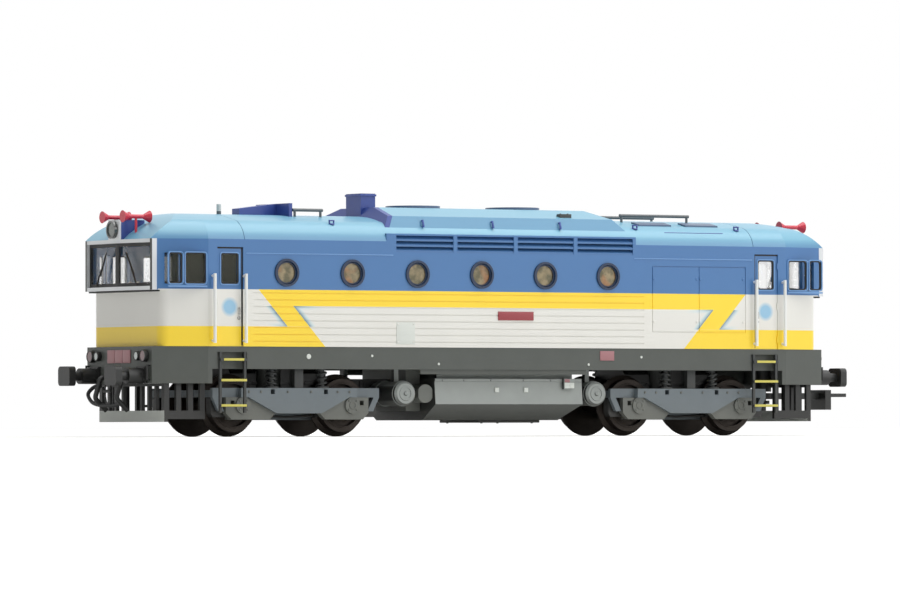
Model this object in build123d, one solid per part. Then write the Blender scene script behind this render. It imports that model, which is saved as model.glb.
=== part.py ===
from build123d import *
import os
from math import atan2, cos, degrees, tan

os.makedirs("parts", exist_ok=True)

# A 1:87 scale model of a four-axle diesel locomotive for 16.5 mm gauge track.
# Millimetres, X along the length with the shown end at -X, Y across, Z up from the wheel flanges.

# Running gear
FLANGE_DEPTH = 1.0
WHEEL_DIA = 11.5
WHEEL_WIDTH = 2.8
FLANGE_WIDTH = 0.8
FLANGE_SLOPE = 0.4
RIM_THICK = 1.1
WEB_RECESS = 0.9
HUB_DIA = 3.8
BACK_TO_BACK = 14.4
AXLE_DIA = 2.4
JOURNAL_DIA = 1.6
JOURNAL_LENGTH = 2.4
JOURNAL_CLEARANCE = 0.06
WHEELBASE = 27.4
PIVOT_SET_BACK = 36.0
RUNNING_GAP = 0.35

# Frame under the body
FRAME_LENGTH = 174.0
FRAME_TOP_ABOVE_RAIL = 18.3
DECK_DEPTH = 3.3
SILL_DEPTH = 4.8
SILL_THICK = 1.5
LIP_DEPTH = 5.8
LIP_LENGTH = 43.0
LIP_INSET = 0.3
END_BLOCK_DEPTH = 7.9
END_BLOCK_LENGTH = 13.0
END_BLOCK_ROOF = 1.2
BEAM_THICK = 2.4
FRAME_INSET = 0.15

# Body
BODY_WIDTH = 34.5
END_WIDTH = 28.2
TAPER_LENGTH = 12.0
CAB_LENGTH = 21.0
WALL = 1.2
BELT_HEIGHT = 12.0
GROOVE_HEIGHT = 19.9
EAVES_HEIGHT = 22.9
CROWN_RISE = 5.8
CORNER_RUN = 5.2
CORNER_RISE = 4.4
# How far along and up the middle of each roof arc lies, as shares of the arc's own run and rise
CORNER_ARC = (0.27, 0.6)
CROWN_ARC = 0.76
CAB_ROOF_ARC = (0.62, 0.26)
CAB_ROOF_RIDGE = 3.0
CAB_ROOF_LIP = 0.2
ROOF_SEAM = 0.12
NOSE_SET_BACK = 1.8
NOSE_RADIUS = 2.5
NOSE_RETURN = 2.8
GOGGLE_SET_BACK = 1.2
GOGGLE_CORNER_REACH = 0.2
GOGGLE_POINT_REACH = 1.3
GOGGLE_RIM = 0.8
SCREEN_SET_BACK = 0.7
CENTRE_POST = 1.5
SCREEN_BORDER = 0.75
GLASS = 0.5

# Ribs of the side walls and seams of the removable panels, up from the frame top
RIB_PITCH = 1.48
RIB_COUNT = 8
RIB_FIRST = 1.0
RIB_GROOVE = 0.22
RIB_DEPTH = 0.14
RIB_END_GAP = 2.2
PANEL_GAP = 2.2
PANEL_WIDTH = 12.5
PANEL_COUNT = 2
PANEL_BOTTOM = 3.6
PANEL_TOP = 18.1
SEAM = 0.2
SEAM_DEPTH = 0.14

# Doors and windows, back from the frame's end and up from the frame top
DOOR_SET_BACK = 17.4
DOOR_WIDTH = 6.4
DOOR_TOP = 21.2
DOOR_RECESS = 0.3
DOOR_WINDOW_WIDTH = 4.4
CAB_WINDOW_SILL = 13.3
CAB_WINDOW_HEIGHT = 6.6
PANE_RECESS = 0.2
# Two panes in each tapered cab side: start and end, measured along the wall from the bend
CAB_PANES = [(0.6, 5.7), (6.4, 9.7)]
PORTHOLE_DIA = 5.0
PORTHOLE_RIM = 0.5
PORTHOLE_RIM_PROUD = 0.35
PORTHOLE_PANE_RECESS = 0.3
PORTHOLE_FIT = 0.01
PORTHOLE_FIRST_GAP = 10.4
PORTHOLE_PITCH = 16.53
PORTHOLE_COUNT = 6
PORTHOLE_HEIGHT = 15.85
RAIL_WIRE = 0.7
STAY_WIRE = 0.56
HANDRAIL_REACH = 1.05
HANDRAIL_BACK = 3.3
HANDRAIL_FRONT = 4.4
HANDRAIL_BOTTOM = 0.7
HANDRAIL_TOP = 15.5
STAY_INSET = 0.5

# Cooler hood on the middle roof, its ends measured from the cab walls
HOOD_FRONT_GAP = 35.6
HOOD_REAR_GAP = 31.5
HOOD_FRONT_SLOPE = 3.1
HOOD_REAR_SLOPE = 7.0
HOOD_BASE_HALF = 15.9
HOOD_SHOULDER_HALF = 14.5
HOOD_TOP_HALF = 6.8
HOOD_BASE_HEIGHT = 24.6
HOOD_SHOULDER_RISE = 3.9
HOOD_RISE = 6.0
LOUVRE_FRONT_MARGIN = 2.5
LOUVRE_REAR_MARGIN = 0.8
LOUVRE_BAYS = 4
LOUVRE_SLATS = 3
LOUVRE_MULLION = 1.0
LOUVRE_BOTTOM = 20.6
LOUVRE_TOP = 24.2
SLAT_THICK = 0.4
SLAT_INSET = 0.1
FAN_DIA = 12.0
FAN_PITCH = 26.0
FAN_RING = 0.7
FAN_RISE = 0.6
FAN_HUB = 4.0
FAN_BAR = 0.5
FAN_BARS = 3

# On the roof, measured from the cab walls or the hood, heights above the crown
FRONT_WALL = 1.2
STACK_LEAD = 0.9
STACK_LENGTH = 3.7
STACK_HALF = 3.1
STACK_RISE = 3.1
SCOOP_GAP = 7.9
SCOOP_LENGTH = 9.3
SCOOP_HALF = 1.5
SCOOP_FRONT_RISE = 1.3
SCOOP_REAR_RISE = 2.45
SCOOP_PLATE_HALF = 7.0
SCOOP_PLATE_THICK = 0.8
FRONT_RAIL_GAP = 18.1
FRONT_RAIL_LENGTH = 7.5
REAR_RAIL_GAP = 10.5
REAR_RAIL_LENGTH = 18.5
ROOF_RAIL_RISE = 1.0
ROOF_RAIL_Y = 7.0
RAIL_FOOT_INSET = 0.5
VENT_GAPS = [15.0, 27.5]
VENT_LENGTH = 8.6
VENT_HALF = 1.6
VENT_Y = 11.0
VENT_RISE = 0.35
ANTENNA_GAP = 3.7
ANTENNA_DIA = 1.0
ANTENNA_RISE = 2.2
LAMP_HOUSING_HALF = 2.3
LAMP_HOUSING_LENGTH = 6.2
LAMP_HOUSING_HEIGHT = 4.2
LAMP_RISE = 2.1
LAMP_DIA = 3.8
LAMP_LENGTH = 0.9
LAMP_BEZEL = 0.4
LAMP_LENS_RECESS = 0.25
HORN_SET_BACK = 1.6
HORN_Y = 4.4
HORN_RISE = 4.9
HORN_HALF = 3.3
HORN_BELL_DIA = 2.6
HORN_BELL_LENGTH = 1.6
HORN_PIPE_DIA = 0.9

# Inside the body
MOTOR_GAP = 22.0
MOTOR_HALF = 10.5
MOTOR_HEIGHT = 17.5
INTERIOR_HALF = 11.5
FLOOR_THICK = 0.8
BULKHEAD_SET_BACK = 2.0
BULKHEAD_GAP = 0.3
DESK_FRONT = 2.2
DESK_DEPTH = 4.3
DESK_RISE = 0.4
SEAT_GAP = 4.5
SEAT_LENGTH = 5.0
SEAT_Y = 6.5
SEAT_HALF = 2.3
SEAT_HEIGHT = 6.0
SEAT_BACK = 14.0
SEAT_THICK = 1.2

# Bogies, heights from the axle's centre line and lengths from the pivot
BOGIE_OVERHANG = 7.2
BOGIE_PLATE_GAP = 2.6
BOGIE_PLATE_THICK = 1.0
BOGIE_FACE_THICK = 1.3
BOGIE_FACE_OVERHANG = 0.8
BOGIE_RISE = 3.7
BOGIE_ARM = 2.0
BOGIE_DROP = 5.45
BOGIE_DROP_HALF = 5.6
BOGIE_ARM_START = 1.1
BOGIE_BEND = 1.2
BOGIE_HOLE_X = 6.67
BOGIE_HOLE = 1.0
BOGIE_HOLE_EDGE = 0.3
HORN_PLATE_WIDTH = 1.4
HORN_PLATE_LEAN = 1.5
HORN_PLATE_DROP = 3.0
BOLSTER_HALF = 5.5
BOLSTER_DROP = 0.45
BOLSTER_DEPTH = 4.0
GEAR_CASE_GAP = 3.7
GEAR_CASE_WIDTH = 10.0
GEAR_CASE_DROP = 3.15
GEAR_CASE_SINK = 1.0
PIVOT_DIA = 4.0
PIVOT_CLEARANCE = 0.05
PIVOT_BOSS_DIA = 7.2
PIVOT_PIN_GAP = 0.5
AXLE_BOX_WIDTH = 5.2
AXLE_BOX_DEPTH = 3.1
AXLE_BOX_GAP = 0.9
YOKE_BACK = 8.1
YOKE_FRONT = 4.2
YOKE_BOTTOM = 3.05
YOKE_BEVEL = 1.4
YOKE_PROUD = 0.5
YOKE_HOLE = 1.0
YOKE_HOLE_X = 2.5
COVER_DIA = 3.6
COVER_PROUD = 0.4
SPRING_X = 6.3
SPRING_DIA = 2.8
SPRING_COILS = 4
SPRING_COIL_DEPTH = 0.4
BEARER_HALF = 1.1

# Under the frame, heights above the rail
RESERVOIR_FRONT_GAP = 3.3
RESERVOIR_REAR_GAP = 1.95
RESERVOIR_DIA = 5.3
RESERVOIR_HEIGHT = 8.3
RESERVOIR_CHAMFER = 0.45
HANGER_Y = 10.0
HANGER_WIDTH = 1.1
TANK_FRONT_GAP = 5.0
TANK_REAR_GAP = 1.05
TANK_HALF = 15.0
TANK_LEAN = 0.5
TANK_BOTTOM_HALF = 9.5
TANK_TOP = 11.6
TANK_FOLD = 6.0
TANK_BOTTOM = 2.5
TANK_END_SLOPE = 3.0
SADDLE_INSET = 1.5
SADDLE_HALF = 13.0
FILLER_GAP = 2.4
FILLER_LENGTH = 2.8
FILLER_PROUD = 0.45
FILLER_LOW = 9.3
FILTER_GAP = 0.3
FILTER_WIDTH = 3.6
FILTER_DIA = 4.0
FILTER_HALF = 14.2
FILTER_BOX_HALF = 9.0
FILTER_BOX_BOTTOM = 4.5
STEP_SET_BACK = 17.9
STEP_WIDTH = 6.6
STEP_INSET = 0.3
STEP_RAIL = 0.55
STEP_TREAD_DEPTH = 1.0
STEP_TREAD_THICK = 0.5
STEP_HEIGHTS = [15.2, 10.8, 5.4]
STEP_BOTTOM = 4.1
RECESS_MARGIN = 0.4
RECESS_HEADROOM = 1.9
RECESS_DEPTH = 1.2
PLOUGH_SET_BACK = 3.0
PLOUGH_HALF = 14.0
PLOUGH_THICK = 0.8
PLOUGH_STRIP = 0.6
PLOUGH_STRIP_INSET = 1.0
PLOUGH_BLADE_TOP = 4.6
PLOUGH_BOTTOM = 2.2
PLOUGH_SIDE_LIFT = 0.6
PLOUGH_BAR = 1.2
PLOUGH_SIDE_BARS = 4
PLOUGH_FRONT_BAR = 0.8
PLOUGH_FRONT_PITCH = 3.05
PLOUGH_GAP_HALF = 3.6
PLOUGH_LAP = 0.2

# Ends
BUFFER_PROJECTION = 8.0
BUFFER_Y = 10.06
BUFFER_HEIGHT = 12.06
BUFFER_HEAD_WIDTH = 5.0
BUFFER_HEAD_HEIGHT = 4.2
BUFFER_HEAD_THICK = 1.6
BUFFER_HEAD_CORNER = 0.9
BUFFER_SLEEVE_DIA = 3.4
BUFFER_SLEEVE_LENGTH = 4.2
BUFFER_PLUNGER_DIA = 2.0
BUFFER_FLANGE_HALF = 2.0
PLATE_THICK = 0.6
# Lamps of a buffer beam: distance from the middle and diameter
BEAM_LAMPS = [(11.4, 2.2), (8.6, 1.6)]
BEAM_LAMP_DROP = 2.0
BEAM_LAMP_LENGTH = 0.9
HOOK_PLATE_HALF = 2.2
HOOK_PLATE_LOW = 1.6
HOOK_PLATE_HIGH = 1.0
HOOK_LENGTH = 3.2
HOOK_DIA = 1.2
HOOK_TIP_DIA = 1.0
HOOK_TIP_LOW = 1.3
HOOK_TIP_HIGH = 0.9
PIPE_DIA = 1.1
PIPE_Y = 4.6
PIPE_DROP = 0.3
# Bends of a brake pipe: out from the beam and down from the pipe's start
PIPE_BENDS = [(2.0, 0.0), (3.4, 4.5), (0.6, 7.1)]
PIPE_BEND_RADIUS = 1.1
COUPLER_PIVOT_SET_BACK = 6.5
COUPLER_HEIGHT = 7.9
COUPLER_PIN_DIA = 1.6
COUPLER_PIN_CLEARANCE = 0.05
COUPLER_PIN_HEAD = 0.8
COUPLER_BOSS = 1.2
COUPLER_GAP = 0.3
COUPLER_SHANK_HALF = 1.2
COUPLER_SHANK_HALF_DEPTH = 0.7
COUPLER_EYE = 0.8
COUPLER_HEAD_REACH = 8.4
COUPLER_HEAD_THICK = 1.6
COUPLER_HALF = 3.6
COUPLER_HEAD_LOW = 3.1
COUPLER_HEAD_HIGH = 1.4
COUPLER_LOOP_LENGTH = 5.8
COUPLER_LOOP_BAR = 0.8
COUPLER_LOOP_DROP = 0.2

RAIL = FLANGE_DEPTH
AXLE_Z = RAIL + WHEEL_DIA / 2
FRAME_TOP = RAIL + FRAME_TOP_ABOVE_RAIL
DECK_BOTTOM = FRAME_TOP - DECK_DEPTH
SILL_BOTTOM = FRAME_TOP - SILL_DEPTH
BLOCK_BOTTOM = FRAME_TOP - END_BLOCK_DEPTH
FRAME_END = FRAME_LENGTH / 2
BLOCK_BACK = FRAME_END - END_BLOCK_LENGTH
CAB_BACK = FRAME_END - CAB_LENGTH
TAPER_START = FRAME_END - TAPER_LENGTH
NOSE_X = FRAME_END - NOSE_SET_BACK
GOGGLE_BACK = FRAME_END - GOGGLE_SET_BACK
GOGGLE_CORNER = FRAME_END + GOGGLE_CORNER_REACH
GOGGLE_POINT = FRAME_END + GOGGLE_POINT_REACH
DOOR_X = FRAME_END - DOOR_SET_BACK
STEP_X = FRAME_END - STEP_SET_BACK
HALF_WIDTH = BODY_WIDTH / 2
END_HALF = END_WIDTH / 2
TAPER = atan2(HALF_WIDTH - END_HALF, TAPER_LENGTH)
BELT = FRAME_TOP + BELT_HEIGHT
GROOVE = FRAME_TOP + GROOVE_HEIGHT
EAVES = FRAME_TOP + EAVES_HEIGHT
CROWN = EAVES + CROWN_RISE
HOOD_X0 = -CAB_BACK + HOOD_FRONT_GAP
HOOD_X1 = CAB_BACK - HOOD_REAR_GAP
HOOD_TOP_X0 = HOOD_X0 + HOOD_FRONT_SLOPE
HOOD_TOP_X1 = HOOD_X1 - HOOD_REAR_SLOPE
HOOD_BASE = FRAME_TOP + HOOD_BASE_HEIGHT
HOOD_TOP = HOOD_BASE + HOOD_RISE
PIVOT_X = FRAME_END - PIVOT_SET_BACK
FAR = 2 * FRAME_LENGTH


def block(x0, x1, y0, y1, z0, z1):
    """A box between two corners."""
    return Pos((x0 + x1) / 2, (y0 + y1) / 2, (z0 + z1) / 2) * Box(x1 - x0, y1 - y0, z1 - z0)


def outline(points):
    """A flat face inside straight edges."""
    return make_face(Polyline(*points, close=True))


def mirrored_outline(half):
    """A flat face from one half of its outline, given at positive first values from the bottom up."""
    return outline(half + [(-across, up) for across, up in reversed(half)])


def prism_x(face, x0, x1):
    """A face drawn in Y and Z, run along X."""
    return extrude(Plane((x0, 0, 0), x_dir=(0, 1, 0), z_dir=(1, 0, 0)) * face, amount=x1 - x0)


def prism_y(face, y0, y1):
    """A face drawn in X and Z, run along Y."""
    return extrude(Plane((0, y1, 0), x_dir=(1, 0, 0), z_dir=(0, -1, 0)) * face, amount=y1 - y0)


def prism_z(face, z0, z1):
    """A face drawn in X and Y, run upwards."""
    return extrude(Plane((0, 0, z0)) * face, amount=z1 - z0)


def rod_x(x0, x1, y, z, dia):
    return Pos((x0 + x1) / 2, y, z) * Rot(0, 90, 0) * Cylinder(dia / 2, x1 - x0)


def rod_y(x, y0, y1, z, dia):
    return Pos(x, (y0 + y1) / 2, z) * Rot(90, 0, 0) * Cylinder(dia / 2, y1 - y0)


def rod_z(x, y, z0, z1, dia):
    return Pos(x, y, (z0 + z1) / 2) * Cylinder(dia / 2, z1 - z0)


def to_other_end(shape):
    return mirror(shape, about=Plane.YZ)


def to_other_side(shape):
    return mirror(shape, about=Plane.XZ)


def both_sides(shape):
    return [shape, to_other_side(shape)]


def four_corners(shape):
    pair = both_sides(shape)
    return pair + [to_other_end(piece) for piece in pair]


def fuse(pieces):
    """Pieces joined into one."""
    whole = pieces[0]
    for piece in pieces[1:]:
        whole = whole + piece
    return whole


def save(name, *pieces):
    solids = [solid for piece in pieces for solid in piece.solids()]
    export_step(Compound(solids), f"parts/{name}.step")


def wall_profile(inset, reach):
    """Section of a side wall and its roof curve, from the wall at 0 inwards to reach."""
    along, up = CORNER_ARC
    eaves = (inset, EAVES)
    shoulder = (CORNER_RUN, EAVES + CORNER_RISE - inset)
    middle = (inset + (CORNER_RUN - inset) * along, EAVES + (CORNER_RISE - inset) * up)
    crown = (HALF_WIDTH, CROWN - inset)
    crown_middle = ((shoulder[0] + crown[0]) / 2, shoulder[1] + (crown[1] - shoulder[1]) * CROWN_ARC)
    edges = [
        Line((inset, 0), eaves),
        ThreePointArc(eaves, middle, shoulder),
        ThreePointArc(shoulder, crown_middle, crown),
        Line(crown, (reach, CROWN - inset)),
        Line((reach, CROWN - inset), (reach, 0)),
        Line((reach, 0), (inset, 0)),
    ]
    return make_face(edges)


def envelope(inset):
    """The body's outside, or its inside when inset by the wall."""
    straight = prism_x(Pos(-HALF_WIDTH, 0) * wall_profile(inset, BODY_WIDTH), -FAR, FAR)
    shape = straight & to_other_side(straight)
    tapered = prism_x(wall_profile(inset, FAR), -FAR, FAR)
    tapered = Pos(TAPER_START, -HALF_WIDTH, 0) * Rot(0, 0, degrees(TAPER)) * tapered
    for corner in four_corners(tapered):
        shape = shape & corner
    along, down = CAB_ROOF_ARC
    front = (GOGGLE_CORNER + CAB_ROOF_LIP - inset, EAVES)
    ridge = (CAB_BACK + CAB_ROOF_RIDGE, CROWN - inset)
    bend = (ridge[0] + (front[0] - ridge[0]) * along, ridge[1] - (ridge[1] - front[1]) * down)
    edges = [
        Line((0, 0), (front[0], 0)),
        Line((front[0], 0), front),
        ThreePointArc(front, bend, ridge),
        Line(ridge, (0, ridge[1])),
        Line((0, ridge[1]), (0, 0)),
    ]
    end = prism_y(make_face(edges), -FAR, FAR)
    return shape & (end + to_other_end(end))


def on_taper(s0, s1, depth0, depth1, z0, z1):
    """A box let into the near tapered cab side at the +X end, s along the wall from the bend."""
    piece = block(s0, s1, depth0, depth1, z0, z1)
    return Pos(TAPER_START, -HALF_WIDTH, 0) * Rot(0, 0, degrees(TAPER)) * piece


outside = envelope(0)
shell = outside - envelope(WALL)


# Frame: deck with sills and pivot bosses, and the end blocks that carry the buffers
def frame_plan(inset):
    side = HALF_WIDTH - inset
    end = END_HALF - inset
    near = [(-FRAME_END, -end), (-TAPER_START, -side), (TAPER_START, -side), (FRAME_END, -end)]
    return outline(near + [(x, -y) for x, y in reversed(near)])


step_half = STEP_WIDTH / 2
step_inner = HALF_WIDTH - STEP_INSET
recess_half = step_half + RECESS_MARGIN
recess_top = RAIL + STEP_HEIGHTS[0] + RECESS_HEADROOM
recess_y = step_inner - RECESS_DEPTH
top_z = AXLE_Z + BOGIE_RISE
bolster_top = top_z - BOLSTER_DROP
boss_bottom = bolster_top + RUNNING_GAP
pin_top = DECK_BOTTOM - PIVOT_PIN_GAP
frame_side = -HALF_WIDTH + FRAME_INSET
deck = prism_z(frame_plan(FRAME_INSET), DECK_BOTTOM, FRAME_TOP)
sill = block(-BLOCK_BACK, BLOCK_BACK, frame_side, frame_side + SILL_THICK, SILL_BOTTOM, DECK_BOTTOM)
lip = block(-LIP_LENGTH / 2, LIP_LENGTH / 2, frame_side + LIP_INSET, frame_side + SILL_THICK,
            FRAME_TOP - LIP_DEPTH, SILL_BOTTOM)
boss = rod_z(PIVOT_X, 0, boss_bottom, DECK_BOTTOM, PIVOT_BOSS_DIA)
boss_bore = rod_z(PIVOT_X, 0, 0, pin_top + RUNNING_GAP, PIVOT_DIA + 2 * PIVOT_CLEARANCE)
deck = fuse([deck, *both_sides(sill), *both_sides(lip), boss, to_other_end(boss)])
deck = deck - boss_bore - to_other_end(boss_bore)
recess = block(STEP_X - recess_half, STEP_X + recess_half, -FAR, -recess_y, 0, recess_top)
for cut in four_corners(recess):
    deck = deck - cut
save("frame_deck", deck)

end_roof = DECK_BOTTOM - END_BLOCK_ROOF
end_block = prism_z(frame_plan(FRAME_INSET), BLOCK_BOTTOM, DECK_BOTTOM)
end_hollow = prism_z(frame_plan(FRAME_INSET + SILL_THICK), BLOCK_BOTTOM, end_roof)
end_block = end_block & block(BLOCK_BACK, FRAME_END, -FAR, FAR, 0, FAR)
end_block = end_block - (end_hollow & block(0, FRAME_END - BEAM_THICK, -FAR, FAR, 0, FAR))
save("end_block_rear", end_block)
save("end_block_front", to_other_end(end_block))

# Side walls of the engine room, with portholes, ribs below the belt and the seams of two panels
side_wall = shell & block(-CAB_BACK, CAB_BACK, -FAR, 0, FRAME_TOP, GROOVE)
porthole_z = FRAME_TOP + PORTHOLE_HEIGHT
pane_y = -HALF_WIDTH + PORTHOLE_PANE_RECESS
rim_y = -HALF_WIDTH - PORTHOLE_RIM_PROUD
rims = []
porthole_panes = []
for index in range(PORTHOLE_COUNT):
    x = -CAB_BACK + PORTHOLE_FIRST_GAP + index * PORTHOLE_PITCH
    opening = rod_y(x, -HALF_WIDTH - WALL, -HALF_WIDTH + 2 * WALL, porthole_z, PORTHOLE_DIA)
    side_wall = side_wall - opening
    ring = rod_y(x, rim_y, -HALF_WIDTH, porthole_z, PORTHOLE_DIA + 2 * PORTHOLE_RIM)
    rims += both_sides(ring - opening)
    pane = rod_y(x, pane_y, pane_y + GLASS, porthole_z, PORTHOLE_DIA - 2 * PORTHOLE_FIT)
    porthole_panes += both_sides(pane)
panels_x1 = CAB_BACK - PANEL_GAP
panels_x0 = panels_x1 - PANEL_COUNT * PANEL_WIDTH
ribs_x0 = -CAB_BACK + RIB_END_GAP
ribs_x1 = panels_x0 - RIB_END_GAP
for index in range(RIB_COUNT):
    low = FRAME_TOP + RIB_FIRST + index * RIB_PITCH
    side_wall = side_wall - block(ribs_x0, ribs_x1, -FAR, -HALF_WIDTH + RIB_DEPTH, low, low + RIB_GROOVE)
for index in range(PANEL_COUNT + 1):
    x = panels_x0 + index * PANEL_WIDTH
    side_wall = side_wall - block(x, x + SEAM, -FAR, -HALF_WIDTH + SEAM_DEPTH,
                                  FRAME_TOP + PANEL_BOTTOM, FRAME_TOP + PANEL_TOP)
for height in (PANEL_BOTTOM, PANEL_TOP):
    side_wall = side_wall - block(panels_x0, panels_x1 + SEAM, -FAR, -HALF_WIDTH + SEAM_DEPTH,
                                  FRAME_TOP + height, FRAME_TOP + height + SEAM)
save("side_wall_near", side_wall)
save("side_wall_far", to_other_side(side_wall))
save("porthole_rims", *rims)
save("porthole_glazing", *porthole_panes)

# Cab sides with a recessed door and three windows each
cab_lower = block(CAB_BACK, NOSE_X - NOSE_RETURN, -FAR, 0, FRAME_TOP, BELT)
cab_upper = block(CAB_BACK, GOGGLE_BACK, -FAR, 0, BELT, EAVES)
cab_side = shell & (cab_lower + cab_upper)
sill_z = FRAME_TOP + CAB_WINDOW_SILL
head_z = sill_z + CAB_WINDOW_HEIGHT
door_half = DOOR_WIDTH / 2
pane_half = DOOR_WINDOW_WIDTH / 2
cab_side = cab_side - block(DOOR_X - door_half, DOOR_X + door_half, -FAR, -HALF_WIDTH + DOOR_RECESS,
                            0, FRAME_TOP + DOOR_TOP)
cab_side = cab_side - block(DOOR_X - pane_half, DOOR_X + pane_half, -FAR, -HALF_WIDTH + 2 * WALL,
                            sill_z, head_z)
pane_face = DOOR_RECESS + PANE_RECESS
cab_panes = [block(DOOR_X - pane_half, DOOR_X + pane_half, -HALF_WIDTH + pane_face,
                   -HALF_WIDTH + pane_face + GLASS, sill_z, head_z)]
for start, end in CAB_PANES:
    cab_side = cab_side - on_taper(start, end, -WALL, 2 * WALL, sill_z, head_z)
    cab_panes.append(on_taper(start, end, pane_face, pane_face + GLASS, sill_z, head_z))
save("cab_side_rear_near", cab_side)
save("cab_side_rear_far", to_other_side(cab_side))
save("cab_side_front_near", to_other_end(cab_side))
save("cab_side_front_far", to_other_end(to_other_side(cab_side)))
save("cab_glazing", *[copy for pane in cab_panes for copy in four_corners(pane)])


# Noses: rounded panels under the windscreen
def half_width_at(x, inset):
    return HALF_WIDTH - (x - TAPER_START) * tan(TAPER) - inset / cos(TAPER)


def nose_face(inset):
    back = NOSE_X - NOSE_RETURN
    front = NOSE_X - inset
    corners = [(back, -half_width_at(back, inset)), (front, -half_width_at(front, inset))]
    face = outline(corners + [(x, -y) for x, y in reversed(corners)])
    return fillet(face.vertices().group_by(Axis.X)[-1], NOSE_RADIUS - inset)


nose = prism_z(nose_face(0), FRAME_TOP, BELT) - prism_z(nose_face(WALL), FRAME_TOP, BELT)
save("nose_rear", nose)
save("nose_front", to_other_end(nose))

# Goggle windscreens: a slightly pointed box rim, a dark surround inside it and two panes
goggle_half = half_width_at(GOGGLE_BACK, 0)
goggle_slant = atan2(GOGGLE_POINT_REACH - GOGGLE_CORNER_REACH, goggle_half)


def goggle_plan(front_inset, back, half):
    point = GOGGLE_POINT - front_inset
    corner = point - half * tan(goggle_slant)
    return outline([(back, -half), (corner, -half), (point, 0), (corner, half), (back, half)])


rim = GOGGLE_RIM
goggle = prism_z(goggle_plan(0, GOGGLE_BACK, goggle_half), BELT, EAVES)
goggle = goggle - prism_z(goggle_plan(-rim, GOGGLE_BACK - rim, goggle_half - rim), BELT + rim, EAVES - rim)
surround_back = SCREEN_SET_BACK + GLASS
surround_half = goggle_half - rim
surround = prism_z(goggle_plan(SCREEN_SET_BACK, GOGGLE_BACK, surround_half), BELT + rim, EAVES - rim)
surround = surround - prism_z(goggle_plan(surround_back, 0, surround_half), 0, FAR)
screen_bottom = BELT + rim + SCREEN_BORDER
screen_top = EAVES - rim - SCREEN_BORDER
screen_half = surround_half - SCREEN_BORDER
screens = []
for opening in both_sides(block(0, FAR, CENTRE_POST / 2, screen_half, screen_bottom, screen_top)):
    screens.append(surround & opening)
    surround = surround - opening
save("goggle_rear", goggle)
save("goggle_front", to_other_end(goggle))
save("windscreen_surrounds", surround, to_other_end(surround))
save("windscreens", *screens, *[to_other_end(pane) for pane in screens])

# Cab roofs, each with the housing of the top headlight
lamp_front = GOGGLE_POINT
lamp_z = EAVES + LAMP_RISE
housing = block(lamp_front - LAMP_HOUSING_LENGTH, lamp_front, -LAMP_HOUSING_HALF, LAMP_HOUSING_HALF,
                EAVES, EAVES + LAMP_HOUSING_HEIGHT)
cab_roof = shell & block(CAB_BACK + ROOF_SEAM, FAR, -FAR, FAR, EAVES, FAR)
cab_roof = cab_roof + (housing - outside)
save("cab_roof_rear", cab_roof)
save("cab_roof_front", to_other_end(cab_roof))

bezel = rod_x(lamp_front, lamp_front + LAMP_LENGTH, 0, lamp_z, LAMP_DIA)
bezel = bezel - rod_x(lamp_front + LAMP_LENS_RECESS, FAR, 0, lamp_z, LAMP_DIA - 2 * LAMP_BEZEL)
lens = rod_x(lamp_front + LAMP_LENS_RECESS, lamp_front + LAMP_LENGTH - LAMP_LENS_RECESS, 0, lamp_z,
             LAMP_DIA - 2 * LAMP_BEZEL)
save("top_headlights", bezel, lens, to_other_end(bezel), to_other_end(lens))


# Middle roof with louvred sides under the cooler hood
def hood_section(inset, base):
    half = [
        (HOOD_BASE_HALF - inset, base),
        (HOOD_SHOULDER_HALF - inset, HOOD_BASE + HOOD_SHOULDER_RISE - inset),
        (HOOD_TOP_HALF - inset, HOOD_TOP - inset),
    ]
    return prism_x(mirrored_outline(half), -FAR, FAR)


def hood_shape(inset):
    base = HOOD_BASE - inset
    side = outline([
        (HOOD_X0 + inset, base),
        (HOOD_TOP_X0 + inset, HOOD_TOP - inset),
        (HOOD_TOP_X1 - inset, HOOD_TOP - inset),
        (HOOD_X1 - inset, base),
    ])
    return hood_section(inset, base) & prism_y(side, -FAR, FAR)


hood_outside = hood_shape(0)
front_slope = outline([
    (HOOD_X0, HOOD_BASE),
    (HOOD_TOP_X0, HOOD_TOP),
    (HOOD_TOP_X0 + FRONT_WALL, HOOD_TOP),
    (HOOD_X0 + FRONT_WALL, HOOD_BASE),
])
front_wall = hood_outside & prism_y(front_slope, -FAR, FAR)
save("cooler_hood", hood_outside - hood_shape(WALL) - front_wall)

raised = block(HOOD_X0, HOOD_X1, -HALF_WIDTH, HALF_WIDTH, GROOVE, HOOD_BASE)
raised_inside = block(HOOD_X0 + WALL, HOOD_X1 - WALL, -HALF_WIDTH + WALL, HALF_WIDTH - WALL,
                      GROOVE, HOOD_BASE - WALL)
middle_band = block(-CAB_BACK, CAB_BACK, -FAR, FAR, GROOVE, FAR)
roof = ((outside + raised) & middle_band) - envelope(WALL) - raised_inside - hood_outside
louvre_x0 = HOOD_X0 + LOUVRE_FRONT_MARGIN
louvre_x1 = HOOD_X1 - LOUVRE_REAR_MARGIN
louvre_bottom = FRAME_TOP + LOUVRE_BOTTOM
louvre_top = FRAME_TOP + LOUVRE_TOP
bay_length = (louvre_x1 - louvre_x0 - LOUVRE_MULLION * (LOUVRE_BAYS - 1)) / LOUVRE_BAYS
slat_pitch = (louvre_top - louvre_bottom) / LOUVRE_SLATS
slat_out = -HALF_WIDTH + SLAT_INSET
slat_in = -HALF_WIDTH + WALL - SLAT_INSET
slats = []
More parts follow.
